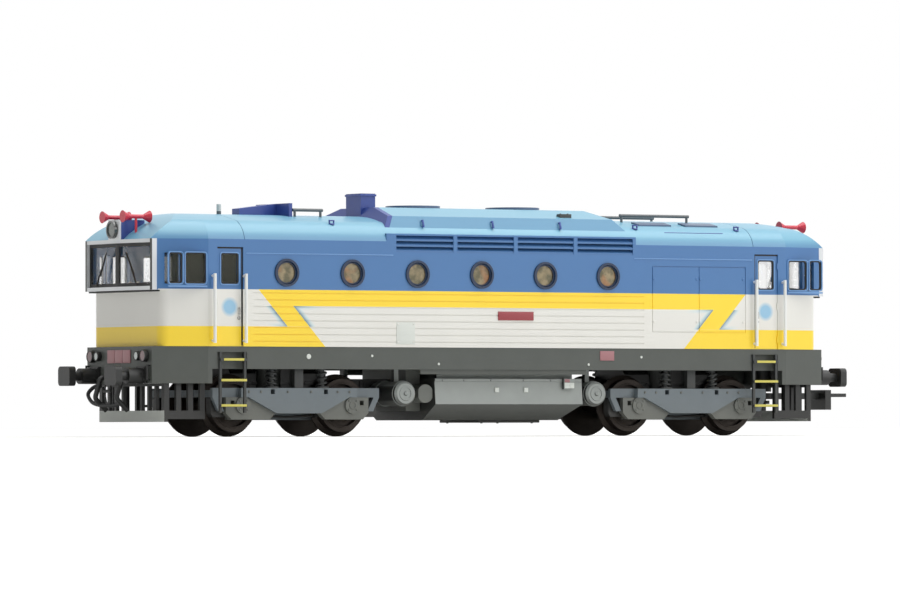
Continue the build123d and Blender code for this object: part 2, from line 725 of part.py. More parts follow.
for bay in range(LOUVRE_BAYS):
    x0 = louvre_x0 + bay * (bay_length + LOUVRE_MULLION)
    window = block(x0, x0 + bay_length, -FAR, -HALF_WIDTH + 2 * WALL, louvre_bottom, louvre_top)
    roof = roof - window - to_other_side(window)
    for row in range(LOUVRE_SLATS):
        low = louvre_bottom + row * slat_pitch
        blade = outline([(slat_out, low), (slat_out, low + SLAT_THICK),
                         (slat_in, low + slat_pitch), (slat_in, low + slat_pitch - SLAT_THICK)])
        slats += both_sides(prism_x(blade, x0, x0 + bay_length))
save("roof_middle", roof)
save("louvre_slats", *slats)

# Fans on the hood, as many as its flat top has room for, and flat vents on the roof behind it
hood_middle = (HOOD_TOP_X0 + HOOD_TOP_X1) / 2
fan_count = int((HOOD_TOP_X1 - HOOD_TOP_X0) // FAN_PITCH)
fan_top = HOOD_TOP + FAN_RISE
fans = []
for index in range(fan_count):
    x = hood_middle + (index - (fan_count - 1) / 2) * FAN_PITCH
    ring = rod_z(x, 0, HOOD_TOP, fan_top, FAN_DIA) - rod_z(x, 0, 0, FAR, FAN_DIA - 2 * FAN_RING)
    hub = rod_z(x, 0, HOOD_TOP, fan_top, FAN_HUB)
    fan_bar = Box(FAN_DIA - FAN_RING, FAN_BAR, FAN_BAR)
    spider = [Rot(0, 0, 180 * turn / FAN_BARS) * fan_bar for turn in range(FAN_BARS)]
    fans.append(fuse([ring, hub, Pos(x, 0, fan_top - FAN_BAR / 2) * fuse(spider)]))
patch = envelope(-VENT_RISE) - outside
vents = []
for gap in VENT_GAPS:
    x = CAB_BACK - gap
    cut = block(x, x + VENT_LENGTH, -VENT_Y - VENT_HALF, -VENT_Y + VENT_HALF, EAVES, FAR)
    vents += both_sides(patch & cut)
save("roof_vents", *fans, *vents)

# Exhaust: the sloping front wall of the hood, painted apart, and the stack that stands over it
stack_x0 = HOOD_TOP_X0 - STACK_LEAD
stack = block(stack_x0, stack_x0 + STACK_LENGTH, -STACK_HALF, STACK_HALF, HOOD_BASE, HOOD_TOP + STACK_RISE)
save("exhaust_stack", front_wall, stack - hood_outside)

# Scoop: a narrow wedge along the roof that rises to an upright plate across it
scoop_x0 = -CAB_BACK + SCOOP_GAP
scoop_x1 = scoop_x0 + SCOOP_LENGTH
scoop_side = outline([
    (scoop_x0, EAVES),
    (scoop_x0, CROWN + SCOOP_FRONT_RISE),
    (scoop_x1, CROWN + SCOOP_REAR_RISE),
    (scoop_x1, EAVES),
])
scoop = prism_y(scoop_side, -SCOOP_HALF, SCOOP_HALF)
scoop_plate = block(scoop_x1, scoop_x1 + SCOOP_PLATE_THICK, -SCOOP_PLATE_HALF, SCOOP_PLATE_HALF,
                    EAVES, CROWN + SCOOP_REAR_RISE)
save("roof_scoop", scoop + scoop_plate - outside)

# Roof rails and antenna
rails = []
rail_top = CROWN + ROOF_RAIL_RISE
front_rail_x0 = -CAB_BACK + FRONT_RAIL_GAP
rear_rail_x1 = CAB_BACK - REAR_RAIL_GAP
front_span = (front_rail_x0, front_rail_x0 + FRONT_RAIL_LENGTH)
rear_span = (rear_rail_x1 - REAR_RAIL_LENGTH, rear_rail_x1)
for x0, x1 in (front_span, rear_span):
    bar = rod_x(x0, x1, -ROOF_RAIL_Y, rail_top, RAIL_WIRE)
    feet = [rod_z(x, -ROOF_RAIL_Y, EAVES, rail_top, STAY_WIRE) - outside
            for x in (x0 + RAIL_FOOT_INSET, x1 - RAIL_FOOT_INSET)]
    rails += both_sides(fuse([bar, *feet]))
antenna = rod_z(-CAB_BACK + ANTENNA_GAP, 0, EAVES, CROWN + ANTENNA_RISE, ANTENNA_DIA) - outside
save("roof_rails", *rails, antenna)

# Horns: a pipe with a bell at each end, turned as one, on a stem from the cab roof
bell = HORN_BELL_DIA / 2
bell_start = HORN_HALF - HORN_BELL_LENGTH
pipe_radius = HORN_PIPE_DIA / 2
horn_profile = outline([
    (0, -HORN_HALF),
    (bell, -HORN_HALF),
    (pipe_radius, -bell_start),
    (pipe_radius, bell_start),
    (bell, HORN_HALF),
    (0, HORN_HALF),
])
horn = Rot(0, 0, 90) * revolve(horn_profile, Axis.Y)
horn_x = FRAME_END - HORN_SET_BACK
horn_z = EAVES + HORN_RISE
horn = Pos(horn_x, -HORN_Y, horn_z) * horn
stem = rod_z(horn_x, -HORN_Y, EAVES, horn_z, STAY_WIRE) - outside
save("horns", *four_corners(horn + stem))

# Handrails beside the doors
rail_y = -HALF_WIDTH - HANDRAIL_REACH
rail_low = FRAME_TOP + HANDRAIL_BOTTOM
rail_high = FRAME_TOP + HANDRAIL_TOP
stay_heights = (rail_low + STAY_INSET, rail_high - STAY_INSET)
handrails = []
for x in (DOOR_X - HANDRAIL_BACK, DOOR_X + HANDRAIL_FRONT):
    bar = rod_z(x, rail_y, rail_low, rail_high, RAIL_WIRE)
    stays = [rod_y(x, rail_y, -HALF_WIDTH, z, STAY_WIRE) for z in stay_heights]
    handrails += four_corners(fuse([bar, *stays]))
save("handrails", *handrails)

# Inside: motor block and the two cab floors with bulkhead, desk and seats
motor_end = CAB_BACK - MOTOR_GAP
motor_top = FRAME_TOP + MOTOR_HEIGHT
save("motor_block", block(-motor_end, motor_end, -MOTOR_HALF, MOTOR_HALF, FRAME_TOP, motor_top))
bulkhead_x = CAB_BACK - BULKHEAD_SET_BACK
bulkhead_half = HALF_WIDTH - WALL - BULKHEAD_GAP
desk_x1 = NOSE_X - DESK_FRONT
desk_x0 = desk_x1 - DESK_DEPTH
cab_floor = block(bulkhead_x, desk_x1, -INTERIOR_HALF, INTERIOR_HALF, FRAME_TOP, FRAME_TOP + FLOOR_THICK)
bulkhead = block(bulkhead_x, bulkhead_x + WALL, -bulkhead_half, bulkhead_half, FRAME_TOP, EAVES - WALL)
desk_profile = outline([
    (desk_x0, FRAME_TOP),
    (desk_x0, BELT - DESK_FRONT),
    (desk_x0 + DESK_DEPTH / 2, BELT + DESK_RISE),
    (desk_x1, BELT),
    (desk_x1, FRAME_TOP),
])
desk = prism_y(desk_profile, -INTERIOR_HALF, INTERIOR_HALF)
seat_x = CAB_BACK + SEAT_GAP
seat_profile = outline([
    (seat_x, FRAME_TOP), (seat_x, FRAME_TOP + SEAT_BACK), (seat_x + SEAT_THICK, FRAME_TOP + SEAT_BACK),
    (seat_x + SEAT_THICK, FRAME_TOP + SEAT_HEIGHT), (seat_x + SEAT_LENGTH, FRAME_TOP + SEAT_HEIGHT),
    (seat_x + SEAT_LENGTH, FRAME_TOP),
])
seat = prism_y(seat_profile, -SEAT_Y - SEAT_HALF, -SEAT_Y + SEAT_HALF)
interior = fuse([cab_floor, bulkhead, desk, *both_sides(seat)])
save("cab_interior_rear", interior)
save("cab_interior_front", to_other_end(interior))

# Air reservoirs beside the bogies, and between them the fuel tank and the filter
axle_x = WHEELBASE / 2
bogie_half = axle_x + BOGIE_OVERHANG
reservoir_radius = RESERVOIR_DIA / 2
bogie_end = PIVOT_X - bogie_half
front_reservoir = -bogie_end + RESERVOIR_FRONT_GAP + reservoir_radius
rear_reservoir = bogie_end - RESERVOIR_REAR_GAP - reservoir_radius
reservoirs = []
for x in (front_reservoir, rear_reservoir):
    drum = rod_y(x, -TANK_HALF, TANK_HALF, RAIL + RESERVOIR_HEIGHT, RESERVOIR_DIA)
    drum = chamfer(drum.edges().filter_by(GeomType.CIRCLE), RESERVOIR_CHAMFER)
    hanger = block(x - HANGER_WIDTH / 2, x + HANGER_WIDTH / 2, HANGER_Y, HANGER_Y + HANGER_WIDTH,
                   RAIL + RESERVOIR_HEIGHT, DECK_BOTTOM)
    reservoirs.append(fuse([drum, *both_sides(hanger)]))
save("air_reservoirs", *reservoirs)

tank_x0 = front_reservoir + reservoir_radius + TANK_FRONT_GAP
tank_x1 = rear_reservoir - reservoir_radius - TANK_REAR_GAP
tank_section = [(TANK_BOTTOM_HALF, RAIL + TANK_BOTTOM), (TANK_HALF, RAIL + TANK_FOLD),
                (TANK_HALF - TANK_LEAN, RAIL + TANK_TOP)]
tank_side = outline([(tank_x0, RAIL), (tank_x0, RAIL + TANK_TOP), (tank_x1, RAIL + TANK_TOP),
                     (tank_x1, RAIL + TANK_FOLD), (tank_x1 - TANK_END_SLOPE, RAIL + TANK_BOTTOM),
                     (tank_x1 - TANK_END_SLOPE, RAIL)])
tank = prism_x(mirrored_outline(tank_section), -FAR, FAR) & prism_y(tank_side, -FAR, FAR)
saddle = block(tank_x0 + SADDLE_INSET, tank_x1 - SADDLE_INSET, -SADDLE_HALF, SADDLE_HALF,
               RAIL + TANK_TOP, DECK_BOTTOM)
filler_x1 = tank_x1 - FILLER_GAP
filler = block(filler_x1 - FILLER_LENGTH, filler_x1, -TANK_HALF - FILLER_PROUD, -SADDLE_HALF,
               RAIL + FILLER_LOW, RAIL + TANK_TOP)
save("fuel_tank", fuse([tank, saddle, *both_sides(filler)]))

filter_x1 = tank_x0 - FILTER_GAP
filter_x0 = filter_x1 - FILTER_WIDTH
filter_x = (filter_x0 + filter_x1) / 2
filter_can = rod_y(filter_x, -FILTER_HALF, -FILTER_BOX_HALF, RAIL + RESERVOIR_HEIGHT, FILTER_DIA)
filter_can = filter_can & block(filter_x0, filter_x1, -FAR, FAR, 0, FAR)
filter_box = block(filter_x0, filter_x1, -FILTER_BOX_HALF, FILTER_BOX_HALF,
                   RAIL + FILTER_BOX_BOTTOM, DECK_BOTTOM)
save("underfloor_equipment", filter_can + filter_box)

# Steps below the doors
step_rails = [
    block(x, x + STEP_RAIL, -step_inner - STEP_RAIL, -step_inner, RAIL + STEP_BOTTOM, recess_top)
    for x in (STEP_X - step_half, STEP_X + step_half - STEP_RAIL)
]
treads = [
    block(STEP_X - step_half, STEP_X + step_half, -step_inner - STEP_TREAD_DEPTH, -step_inner,
          RAIL + height, RAIL + height + STEP_TREAD_THICK)
    for height in STEP_HEIGHTS
]
save("steps", *four_corners(fuse(step_rails + treads)))

# Ploughs: a barred guard under each end block with a blade along its foot
plough_x = FRAME_END - PLOUGH_SET_BACK
plough_back = plough_x - PLOUGH_THICK
blade_top = RAIL + PLOUGH_BLADE_TOP
bar_bottom = blade_top - PLOUGH_LAP
top_strip = block(plough_back, plough_x, -PLOUGH_HALF + PLOUGH_STRIP_INSET, PLOUGH_HALF - PLOUGH_STRIP_INSET,
                  BLOCK_BOTTOM - PLOUGH_STRIP, BLOCK_BOTTOM)
blade = block(plough_back, plough_x, -PLOUGH_HALF, PLOUGH_HALF, RAIL + PLOUGH_BOTTOM, blade_top)
guard = [top_strip, blade]
front_bars = int((PLOUGH_HALF - PLOUGH_STRIP_INSET - PLOUGH_GAP_HALF) // PLOUGH_FRONT_PITCH) + 1
for index in range(front_bars):
    y = PLOUGH_GAP_HALF + index * PLOUGH_FRONT_PITCH
    guard += both_sides(block(plough_back, plough_x, y, y + PLOUGH_FRONT_BAR, bar_bottom, BLOCK_BOTTOM))
side_y = PLOUGH_HALF - PLOUGH_THICK
side_low = RAIL + PLOUGH_BOTTOM + PLOUGH_SIDE_LIFT
side_blade = block(BLOCK_BACK, plough_x, -PLOUGH_HALF, -side_y, side_low, blade_top)
guard += both_sides(side_blade)
side_pitch = (plough_x - PLOUGH_BAR - BLOCK_BACK) / (PLOUGH_SIDE_BARS - 1)
for index in range(PLOUGH_SIDE_BARS):
    x = BLOCK_BACK + index * side_pitch
    guard += both_sides(block(x, x + PLOUGH_BAR, -PLOUGH_HALF, -side_y, bar_bottom, BLOCK_BOTTOM))
plough = fuse(guard)
save("plough_rear", plough)
save("plough_front", to_other_end(plough))

# Buffers, lamps and draw gear on the buffer beams
buffer_z = RAIL + BUFFER_HEIGHT
buffer_face = FRAME_END + BUFFER_PROJECTION
head_half = BUFFER_HEAD_WIDTH / 2
head = block(buffer_face - BUFFER_HEAD_THICK, buffer_face, -BUFFER_Y - head_half, -BUFFER_Y + head_half,
             buffer_z - BUFFER_HEAD_HEIGHT / 2, buffer_z + BUFFER_HEAD_HEIGHT / 2)
head = fillet(head.edges().filter_by(Axis.X), BUFFER_HEAD_CORNER)
sleeve = rod_x(FRAME_END, FRAME_END + BUFFER_SLEEVE_LENGTH, -BUFFER_Y, buffer_z, BUFFER_SLEEVE_DIA)
plunger = rod_x(FRAME_END, buffer_face - BUFFER_HEAD_THICK, -BUFFER_Y, buffer_z, BUFFER_PLUNGER_DIA)
flange = block(FRAME_END, FRAME_END + PLATE_THICK, -BUFFER_Y - BUFFER_FLANGE_HALF,
               -BUFFER_Y + BUFFER_FLANGE_HALF, BLOCK_BOTTOM, buffer_z + BUFFER_FLANGE_HALF)
save("buffers", *four_corners(fuse([head, sleeve, plunger, flange])))

lamps = []
for y, dia in BEAM_LAMPS:
    lamps += four_corners(rod_x(FRAME_END, FRAME_END + BEAM_LAMP_LENGTH, -y, FRAME_TOP - BEAM_LAMP_DROP, dia))
save("buffer_beam_lamps", *lamps)

hook_plate = block(FRAME_END, FRAME_END + PLATE_THICK, -HOOK_PLATE_HALF, HOOK_PLATE_HALF,
                   buffer_z - HOOK_PLATE_LOW, buffer_z + HOOK_PLATE_HIGH)
hook = rod_x(FRAME_END, FRAME_END + HOOK_LENGTH, 0, buffer_z, HOOK_DIA)
hook_tip = rod_z(FRAME_END + HOOK_LENGTH, 0, buffer_z - HOOK_TIP_LOW, buffer_z + HOOK_TIP_HIGH, HOOK_TIP_DIA)
draw_gear = fuse([hook_plate, hook, hook_tip])
save("draw_hooks", draw_gear, to_other_end(draw_gear))

pipe_z = buffer_z - PIPE_DROP
pipe_points = [(FRAME_END, -PIPE_Y, pipe_z)]
pipe_points += [(FRAME_END + out, -PIPE_Y, pipe_z - down) for out, down in PIPE_BENDS]
route = FilletPolyline(*pipe_points, radius=PIPE_BEND_RADIUS)
pipe = sweep(Plane(origin=route @ 0, z_dir=route % 0) * Circle(PIPE_DIA / 2), path=route)
save("brake_pipes", *both_sides(to_other_end(pipe)))

# Coupler at the rear end: a pin under the end block and the coupler that swings on it
coupler_pivot = FRAME_END - COUPLER_PIVOT_SET_BACK
coupler_z = RAIL + COUPLER_HEIGHT
shank_low = coupler_z - COUPLER_SHANK_HALF_DEPTH
shank_high = coupler_z + COUPLER_SHANK_HALF_DEPTH
pin_low = shank_low - COUPLER_GAP - COUPLER_PIN_HEAD
post = rod_z(coupler_pivot, 0, pin_low, end_roof, COUPLER_PIN_DIA)
post_head = rod_z(coupler_pivot, 0, pin_low, shank_low - COUPLER_GAP, COUPLER_PIN_DIA + 2 * COUPLER_PIN_HEAD)
post_boss = rod_z(coupler_pivot, 0, shank_high + COUPLER_GAP, end_roof, COUPLER_PIN_DIA + 2 * COUPLER_BOSS)
save("coupler_post", fuse([post, post_head, post_boss]))
coupler_head = FRAME_END + COUPLER_HEAD_REACH
head_end = coupler_head + COUPLER_HEAD_THICK
loop_end = coupler_head + COUPLER_LOOP_LENGTH
loop_low = coupler_z - COUPLER_LOOP_DROP
shank = block(coupler_pivot, coupler_head, -COUPLER_SHANK_HALF, COUPLER_SHANK_HALF, shank_low, shank_high)
eye = rod_z(coupler_pivot, 0, shank_low, shank_high, 2 * (COUPLER_SHANK_HALF + COUPLER_EYE))
eye_bore = rod_z(coupler_pivot, 0, 0, FAR, COUPLER_PIN_DIA + 2 * COUPLER_PIN_CLEARANCE)
head_block = block(coupler_head, head_end, -COUPLER_HALF, COUPLER_HALF,
                   coupler_z - COUPLER_HEAD_LOW, coupler_z + COUPLER_HEAD_HIGH)
loop = block(coupler_head, loop_end, -COUPLER_HALF, COUPLER_HALF, loop_low, loop_low + COUPLER_LOOP_BAR)
loop_half = COUPLER_HALF - COUPLER_LOOP_BAR
loop = loop - block(head_end, loop_end - COUPLER_LOOP_BAR, -loop_half, loop_half, 0, FAR)
save("coupler", fuse([shank, eye, head_block, loop]) - eye_bore)

# Bogies: side frames with a dropped middle and horn plates at the ends, on a bolster and end beams
wheel_outer = BACK_TO_BACK / 2 + WHEEL_WIDTH
journal_end = wheel_outer + JOURNAL_LENGTH
plate_y = wheel_outer + BOGIE_PLATE_GAP
face_y = plate_y + BOGIE_PLATE_THICK
arm_z = top_z - BOGIE_ARM
drop_z = top_z - BOGIE_DROP
arm_x = axle_x - BOGIE_ARM_START
horn_inner = bogie_half - HORN_PLATE_WIDTH
horn_low = arm_z - HORN_PLATE_DROP
frame_half = [
    (BOGIE_DROP_HALF, drop_z),
    (arm_x, arm_z),
    (horn_inner, arm_z),
    (horn_inner - HORN_PLATE_LEAN, horn_low),
    (bogie_half - HORN_PLATE_LEAN, horn_low),
    (bogie_half, arm_z),
    (bogie_half, top_z),
]
plate_face = mirrored_outline(frame_half)
bends = [corner for corner in plate_face.vertices() if abs(corner.Y - drop_z) < GLASS / 2]
plate_face = fillet(bends, BOGIE_BEND)
face_half = axle_x + BOGIE_FACE_OVERHANG
plate = prism_y(plate_face, -face_y, -plate_y)
face_plate = prism_y(plate_face, -face_y - BOGIE_FACE_THICK, -face_y)
side_frame = plate + (face_plate & block(-face_half, face_half, -FAR, FAR, 0, FAR))
hole_top = top_z - BOGIE_HOLE_EDGE
half_hole = BOGIE_HOLE / 2
for x in (-BOGIE_HOLE_X, BOGIE_HOLE_X):
    side_frame = side_frame - block(x - half_hole, x + half_hole, -FAR, 0, hole_top - BOGIE_HOLE, hole_top)
bolster = block(-BOLSTER_HALF, BOLSTER_HALF, -plate_y, plate_y, bolster_top - BOLSTER_DEPTH, bolster_top)
case_half = axle_x - GEAR_CASE_GAP
gear_case = block(-case_half, case_half, -GEAR_CASE_WIDTH / 2, GEAR_CASE_WIDTH / 2,
                  AXLE_Z - GEAR_CASE_DROP, bolster_top - GEAR_CASE_SINK)
wheel_reach = axle_x + WHEEL_DIA / 2 + FLANGE_DEPTH + RUNNING_GAP
end_beam = block(wheel_reach, bogie_half, -plate_y, plate_y, arm_z, top_z - BOLSTER_DROP)
king_pin = rod_z(0, 0, bolster_top, pin_top, PIVOT_DIA)
bogie_frame = fuse([*both_sides(side_frame), bolster, gear_case, end_beam, to_other_end(end_beam), king_pin])

# Axle boxes: a block round each journal and a yoke that fits under the slope of the side frame
box_inner = wheel_outer + AXLE_BOX_GAP
yoke_outer = face_y + YOKE_PROUD
yoke_low = AXLE_Z - YOKE_BOTTOM
half_box = AXLE_BOX_WIDTH / 2
axle_box = block(axle_x - half_box, axle_x + half_box, -plate_y, -box_inner, AXLE_Z - AXLE_BOX_DEPTH, arm_z)
yoke_x0 = axle_x - YOKE_BACK
yoke_x1 = axle_x + YOKE_FRONT
yoke_profile = outline([
    (yoke_x0, drop_z),
    (yoke_x0 + YOKE_BEVEL, yoke_low),
    (yoke_x1 - YOKE_BEVEL, yoke_low),
    (yoke_x1, yoke_low + YOKE_BEVEL),
    (yoke_x1, arm_z),
    (arm_x, arm_z),
])
yoke = prism_y(yoke_profile, -yoke_outer, -plate_y)
hole_x = axle_x + YOKE_HOLE_X
yoke_hole = block(hole_x - YOKE_HOLE / 2, hole_x + YOKE_HOLE / 2, -FAR, -plate_y, AXLE_Z, AXLE_Z + YOKE_HOLE)
cover = rod_y(axle_x, -yoke_outer - COVER_PROUD, -yoke_outer, AXLE_Z, COVER_DIA)
bore = rod_y(axle_x, -journal_end - RUNNING_GAP, 0, AXLE_Z, JOURNAL_DIA + 2 * JOURNAL_CLEARANCE)
axle_boxes = four_corners(fuse([axle_box, yoke - yoke_hole, cover]) - bore - side_frame)

# Coil springs as turned stacks of rounds, with a side bearer between them
spring_top = DECK_BOTTOM - RUNNING_GAP
coil_height = (spring_top - top_z) / SPRING_COILS
outer_radius = SPRING_DIA / 2
coil_points = [(0, top_z)]
for turn in range(SPRING_COILS):
    low = top_z + turn * coil_height
    coil_points += [(outer_radius - SPRING_COIL_DEPTH, low), (outer_radius, low + coil_height / 2)]
coil_points += [(outer_radius - SPRING_COIL_DEPTH, spring_top), (0, spring_top)]
coil_face = Plane.XZ * outline(coil_points)
coil = Pos(SPRING_X, -face_y, 0) * revolve(coil_face, Axis.Z)
bearer = block(-BEARER_HALF, BEARER_HALF, -face_y - BEARER_HALF, -plate_y, top_z, spring_top)
springs = four_corners(coil) + both_sides(bearer)

# Wheelset: two flanged wheels on an axle, turned as one profile
half_back = BACK_TO_BACK / 2
tread = WHEEL_DIA / 2
wheel_profile = Polyline(
    (0, 0), (AXLE_DIA / 2, 0), (AXLE_DIA / 2, half_back), (tread + FLANGE_DEPTH, half_back),
    (tread + FLANGE_DEPTH, half_back + FLANGE_WIDTH - FLANGE_SLOPE), (tread, half_back + FLANGE_WIDTH),
    (tread, wheel_outer), (tread - RIM_THICK, wheel_outer), (tread - RIM_THICK, wheel_outer - WEB_RECESS),
    (HUB_DIA / 2, wheel_outer - WEB_RECESS), (HUB_DIA / 2, wheel_outer), (JOURNAL_DIA / 2, wheel_outer),
    (JOURNAL_DIA / 2, journal_end), (0, journal_end), close=True,
)
half_wheelset = revolve(make_face(wheel_profile), Axis.Y)
wheelset = Pos(0, 0, AXLE_Z) * (half_wheelset + to_other_side(half_wheelset))

# Each bogie with its wheelsets: name, place of the pivot, numbers of its wheelsets
for name, pivot, numbers in (("front", -PIVOT_X, (1, 2)), ("rear", PIVOT_X, (3, 4))):
    place = Pos(pivot, 0, 0)
    save(f"bogie_frame_{name}", place * bogie_frame)
    save(f"axle_boxes_{name}", *[place * piece for piece in axle_boxes])
    save(f"springs_{name}", *[place * piece for piece in springs])
    for number, side in zip(numbers, (-1, 1)):
        save(f"wheelset_{number}", Pos(pivot + side * axle_x, 0, 0) * wheelset)
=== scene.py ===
import math
from functools import partial

import bmesh
import bpy
from bpy.props import FloatProperty, FloatVectorProperty, PointerProperty
from mathutils import Matrix, Vector
from mathutils.bvhtree import BVHTree


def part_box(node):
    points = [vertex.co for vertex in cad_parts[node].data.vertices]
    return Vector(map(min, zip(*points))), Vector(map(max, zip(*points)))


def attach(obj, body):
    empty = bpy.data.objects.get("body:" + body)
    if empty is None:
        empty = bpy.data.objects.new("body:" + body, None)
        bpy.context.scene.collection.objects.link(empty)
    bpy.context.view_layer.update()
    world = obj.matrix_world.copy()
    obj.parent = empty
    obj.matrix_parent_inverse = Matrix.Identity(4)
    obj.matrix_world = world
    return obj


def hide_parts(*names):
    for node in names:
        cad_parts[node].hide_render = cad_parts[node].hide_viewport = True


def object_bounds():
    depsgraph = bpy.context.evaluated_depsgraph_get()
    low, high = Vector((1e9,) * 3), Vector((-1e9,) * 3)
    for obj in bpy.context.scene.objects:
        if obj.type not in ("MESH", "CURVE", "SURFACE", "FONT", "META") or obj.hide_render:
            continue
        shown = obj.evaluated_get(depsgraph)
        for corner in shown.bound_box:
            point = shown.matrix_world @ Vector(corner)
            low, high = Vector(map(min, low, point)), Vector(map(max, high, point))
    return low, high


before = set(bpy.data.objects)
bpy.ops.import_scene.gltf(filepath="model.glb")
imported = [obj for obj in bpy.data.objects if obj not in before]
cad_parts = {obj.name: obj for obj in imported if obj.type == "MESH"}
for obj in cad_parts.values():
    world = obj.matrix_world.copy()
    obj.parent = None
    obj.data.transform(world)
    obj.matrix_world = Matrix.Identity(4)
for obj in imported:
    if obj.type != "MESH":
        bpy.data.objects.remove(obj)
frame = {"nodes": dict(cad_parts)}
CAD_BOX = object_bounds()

bl_info = {
    "name": "Model diesel locomotive looks",
    "version": (1, 0, 0),
    "blender": (4, 5, 0),
    "location": "View3D > Sidebar > Locomotive",
    "description": "Finishes and small fittings of a scale model diesel locomotive, with its stage",
    "category": "Object",
}

# Lengths in this file are millimetres, turned into metres where a mesh or a property needs it.
MM = 0.001


def span(node):
    """Lowest and highest corner of a node, in millimetres."""
    low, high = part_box(node)
    return low / MM, high / MM


def srgb(red, green, blue):
    """A colour given in 0 to 255 steps, as the linear values that Blender stores."""
    def linear(step):
        share = step / 255
        return share / 12.92 if share <= 0.04045 else ((share + 0.055) / 1.055) ** 2.4
    return (linear(red), linear(green), linear(blue))


# Corners of the nodes that the paint and the fittings follow
WALL_LOW, WALL_HIGH = span("side_wall_near")
GOGGLE_LOW, GOGGLE_HIGH = span("goggle_rear")
HOOD_LOW, HOOD_HIGH = span("cooler_hood")
TANK_LOW, TANK_HIGH = span("fuel_tank")
BEAM_HIGH = span("end_block_rear")[1]
BOGIE_LOW, BOGIE_HIGH = span("bogie_frame_rear")
LAMP_LOW, LAMP_HIGH = span("top_headlights")
RIM_LOW, RIM_HIGH = span("porthole_rims")

# Ways that fittings face
AHEAD, BACK, NEAR, UP, DOWN = (1, 0, 0), (-1, 0, 0), (0, -1, 0), (0, 0, 1), (0, 0, -1)

# Body
RAIL = 1.0
WALL_Y = -WALL_LOW.y
FRAME_TOP = WALL_LOW.z
FRAME_GAP = 0.15
FRAME_Y = WALL_Y - FRAME_GAP
DECK_BOTTOM = span("frame_deck")[0].z
GROOVE = WALL_HIGH.z
BEAM_X = BEAM_HIGH.x
TAPER_START = 75.0
TAPER = math.atan2(WALL_Y - BEAM_HIGH.y - FRAME_GAP, BEAM_X - TAPER_START)
DOOR_RECESS = 0.3
DOOR_FACE = -WALL_Y + DOOR_RECESS
DOOR_TOP = FRAME_TOP + 21.2
PORTHOLE_COUNT = 6
PORTHOLE_PITCH = 16.53
STACK_X = (-28.2, -24.5)
STACK_HALF = 3.1
AERIAL_PALE = 48.7

# Windscreens, top headlights and cabs
BELT = GOGGLE_LOW.z
GOGGLE_CORNER_X = 87.2
SCREEN_SLOPE = (GOGGLE_HIGH.x - GOGGLE_CORNER_X) / GOGGLE_HIGH.y
LAMP_X = GOGGLE_HIGH.x
LAMP_Z = (LAMP_LOW.z + LAMP_HIGH.z) / 2
HOUSING_HALF = 2.34
HOUSING_LENGTH = 6.24
SEAT_TOP = 25.3
SEAT_BACK_TOP = 33.3
DESK_TOP = 31.7

# Running gear
PIVOT_X = (BOGIE_LOW.x + BOGIE_HIGH.x) / 2
BOGIE_FACE = -BOGIE_LOW.y
BOGIE_TOP = 10.45
AXLE_X = 13.7
AXLE_Z = 6.75
WHEEL_TREAD = 5.75
WHEEL_FACE = 10.0
SPRING_X = 6.3
SPRING_Y = 13.6
SPRING_TOP = span("springs_rear")[1].z
RESERVOIRS = (-24.15, 25.5)
RESERVOIR_Z = 9.3
RESERVOIR_RADIUS = 2.65
PLOUGH_BLADE_TOP = 5.62
PLOUGH_FRONT = 84.0
PLOUGH_HALF = 13.95


def setting(name, description, value, **more):
    return FloatProperty(name=name, description=description, default=value, **more)


def length(name, description, value):
    return setting(name, description, value * MM, unit="LENGTH", precision=5)


def colour(name, description, red, green, blue):
    return FloatVectorProperty(name=name, description=description, subtype="COLOR", size=3,
                               default=srgb(red, green, blue), min=0.0, max=1.0)


class LocoColours(bpy.types.PropertyGroup):
    """Colours of the paint and of the moulded pieces."""
    blue: colour("Blue", "Upper body", 68, 116, 170)
    # Painted highlight: paler blue where the roof faces the light from above
    roof_highlight_blue: colour("Pale blue", "Roof where it faces up", 120, 176, 200)
    deep_blue: colour("Deep blue", "Scoop and exhaust on the roof", 52, 74, 146)
    yellow: colour("Yellow", "Zigzag stripe", 254, 219, 54)
    white: colour("White", "Lower body", 230, 229, 223)
    accent: colour("Accent", "Shadow line beside the zigzag", 84, 118, 142)
    accent_fade: colour("Accent fade", "Pale edge of the shadow line", 202, 232, 238)
    rim: colour("Rim", "Front edge of the windscreen frame", 226, 229, 232)
    frame: colour("Frame", "Frame and end blocks", 74, 78, 74)
    bogie: colour("Bogie", "Bogie side frames", 108, 117, 122)
    gear: colour("Gear", "Axle boxes", 104, 107, 102)
    tank: colour("Tank", "Fuel tank and reservoirs", 152, 157, 154)
    black: colour("Black", "Couplers, ploughs and rubber", 26, 27, 26)
    tread: colour("Tread", "Yellow step edges", 206, 196, 92)
    horn: colour("Horn", "Horns on the cab roofs", 206, 42, 66)
    plate: colour("Plate", "Blank plates", 148, 52, 60)
    interior: colour("Interior", "Cab lining and desk", 150, 148, 120)
    blind: colour("Blind", "Behind the portholes", 168, 150, 112)
    steel: colour("Steel", "Wheels", 62, 55, 50)
    dust: colour("Dust", "Dust on the running gear", 128, 116, 98)
    # Painted shade for the tank's underside
    underside_shade: colour("Grime", "Underside of the tank", 66, 67, 63)
    disc: colour("Disc", "Plain disc on each door", 150, 194, 222)
    blade: colour("Blade", "Foot of each plough", 190, 194, 188)


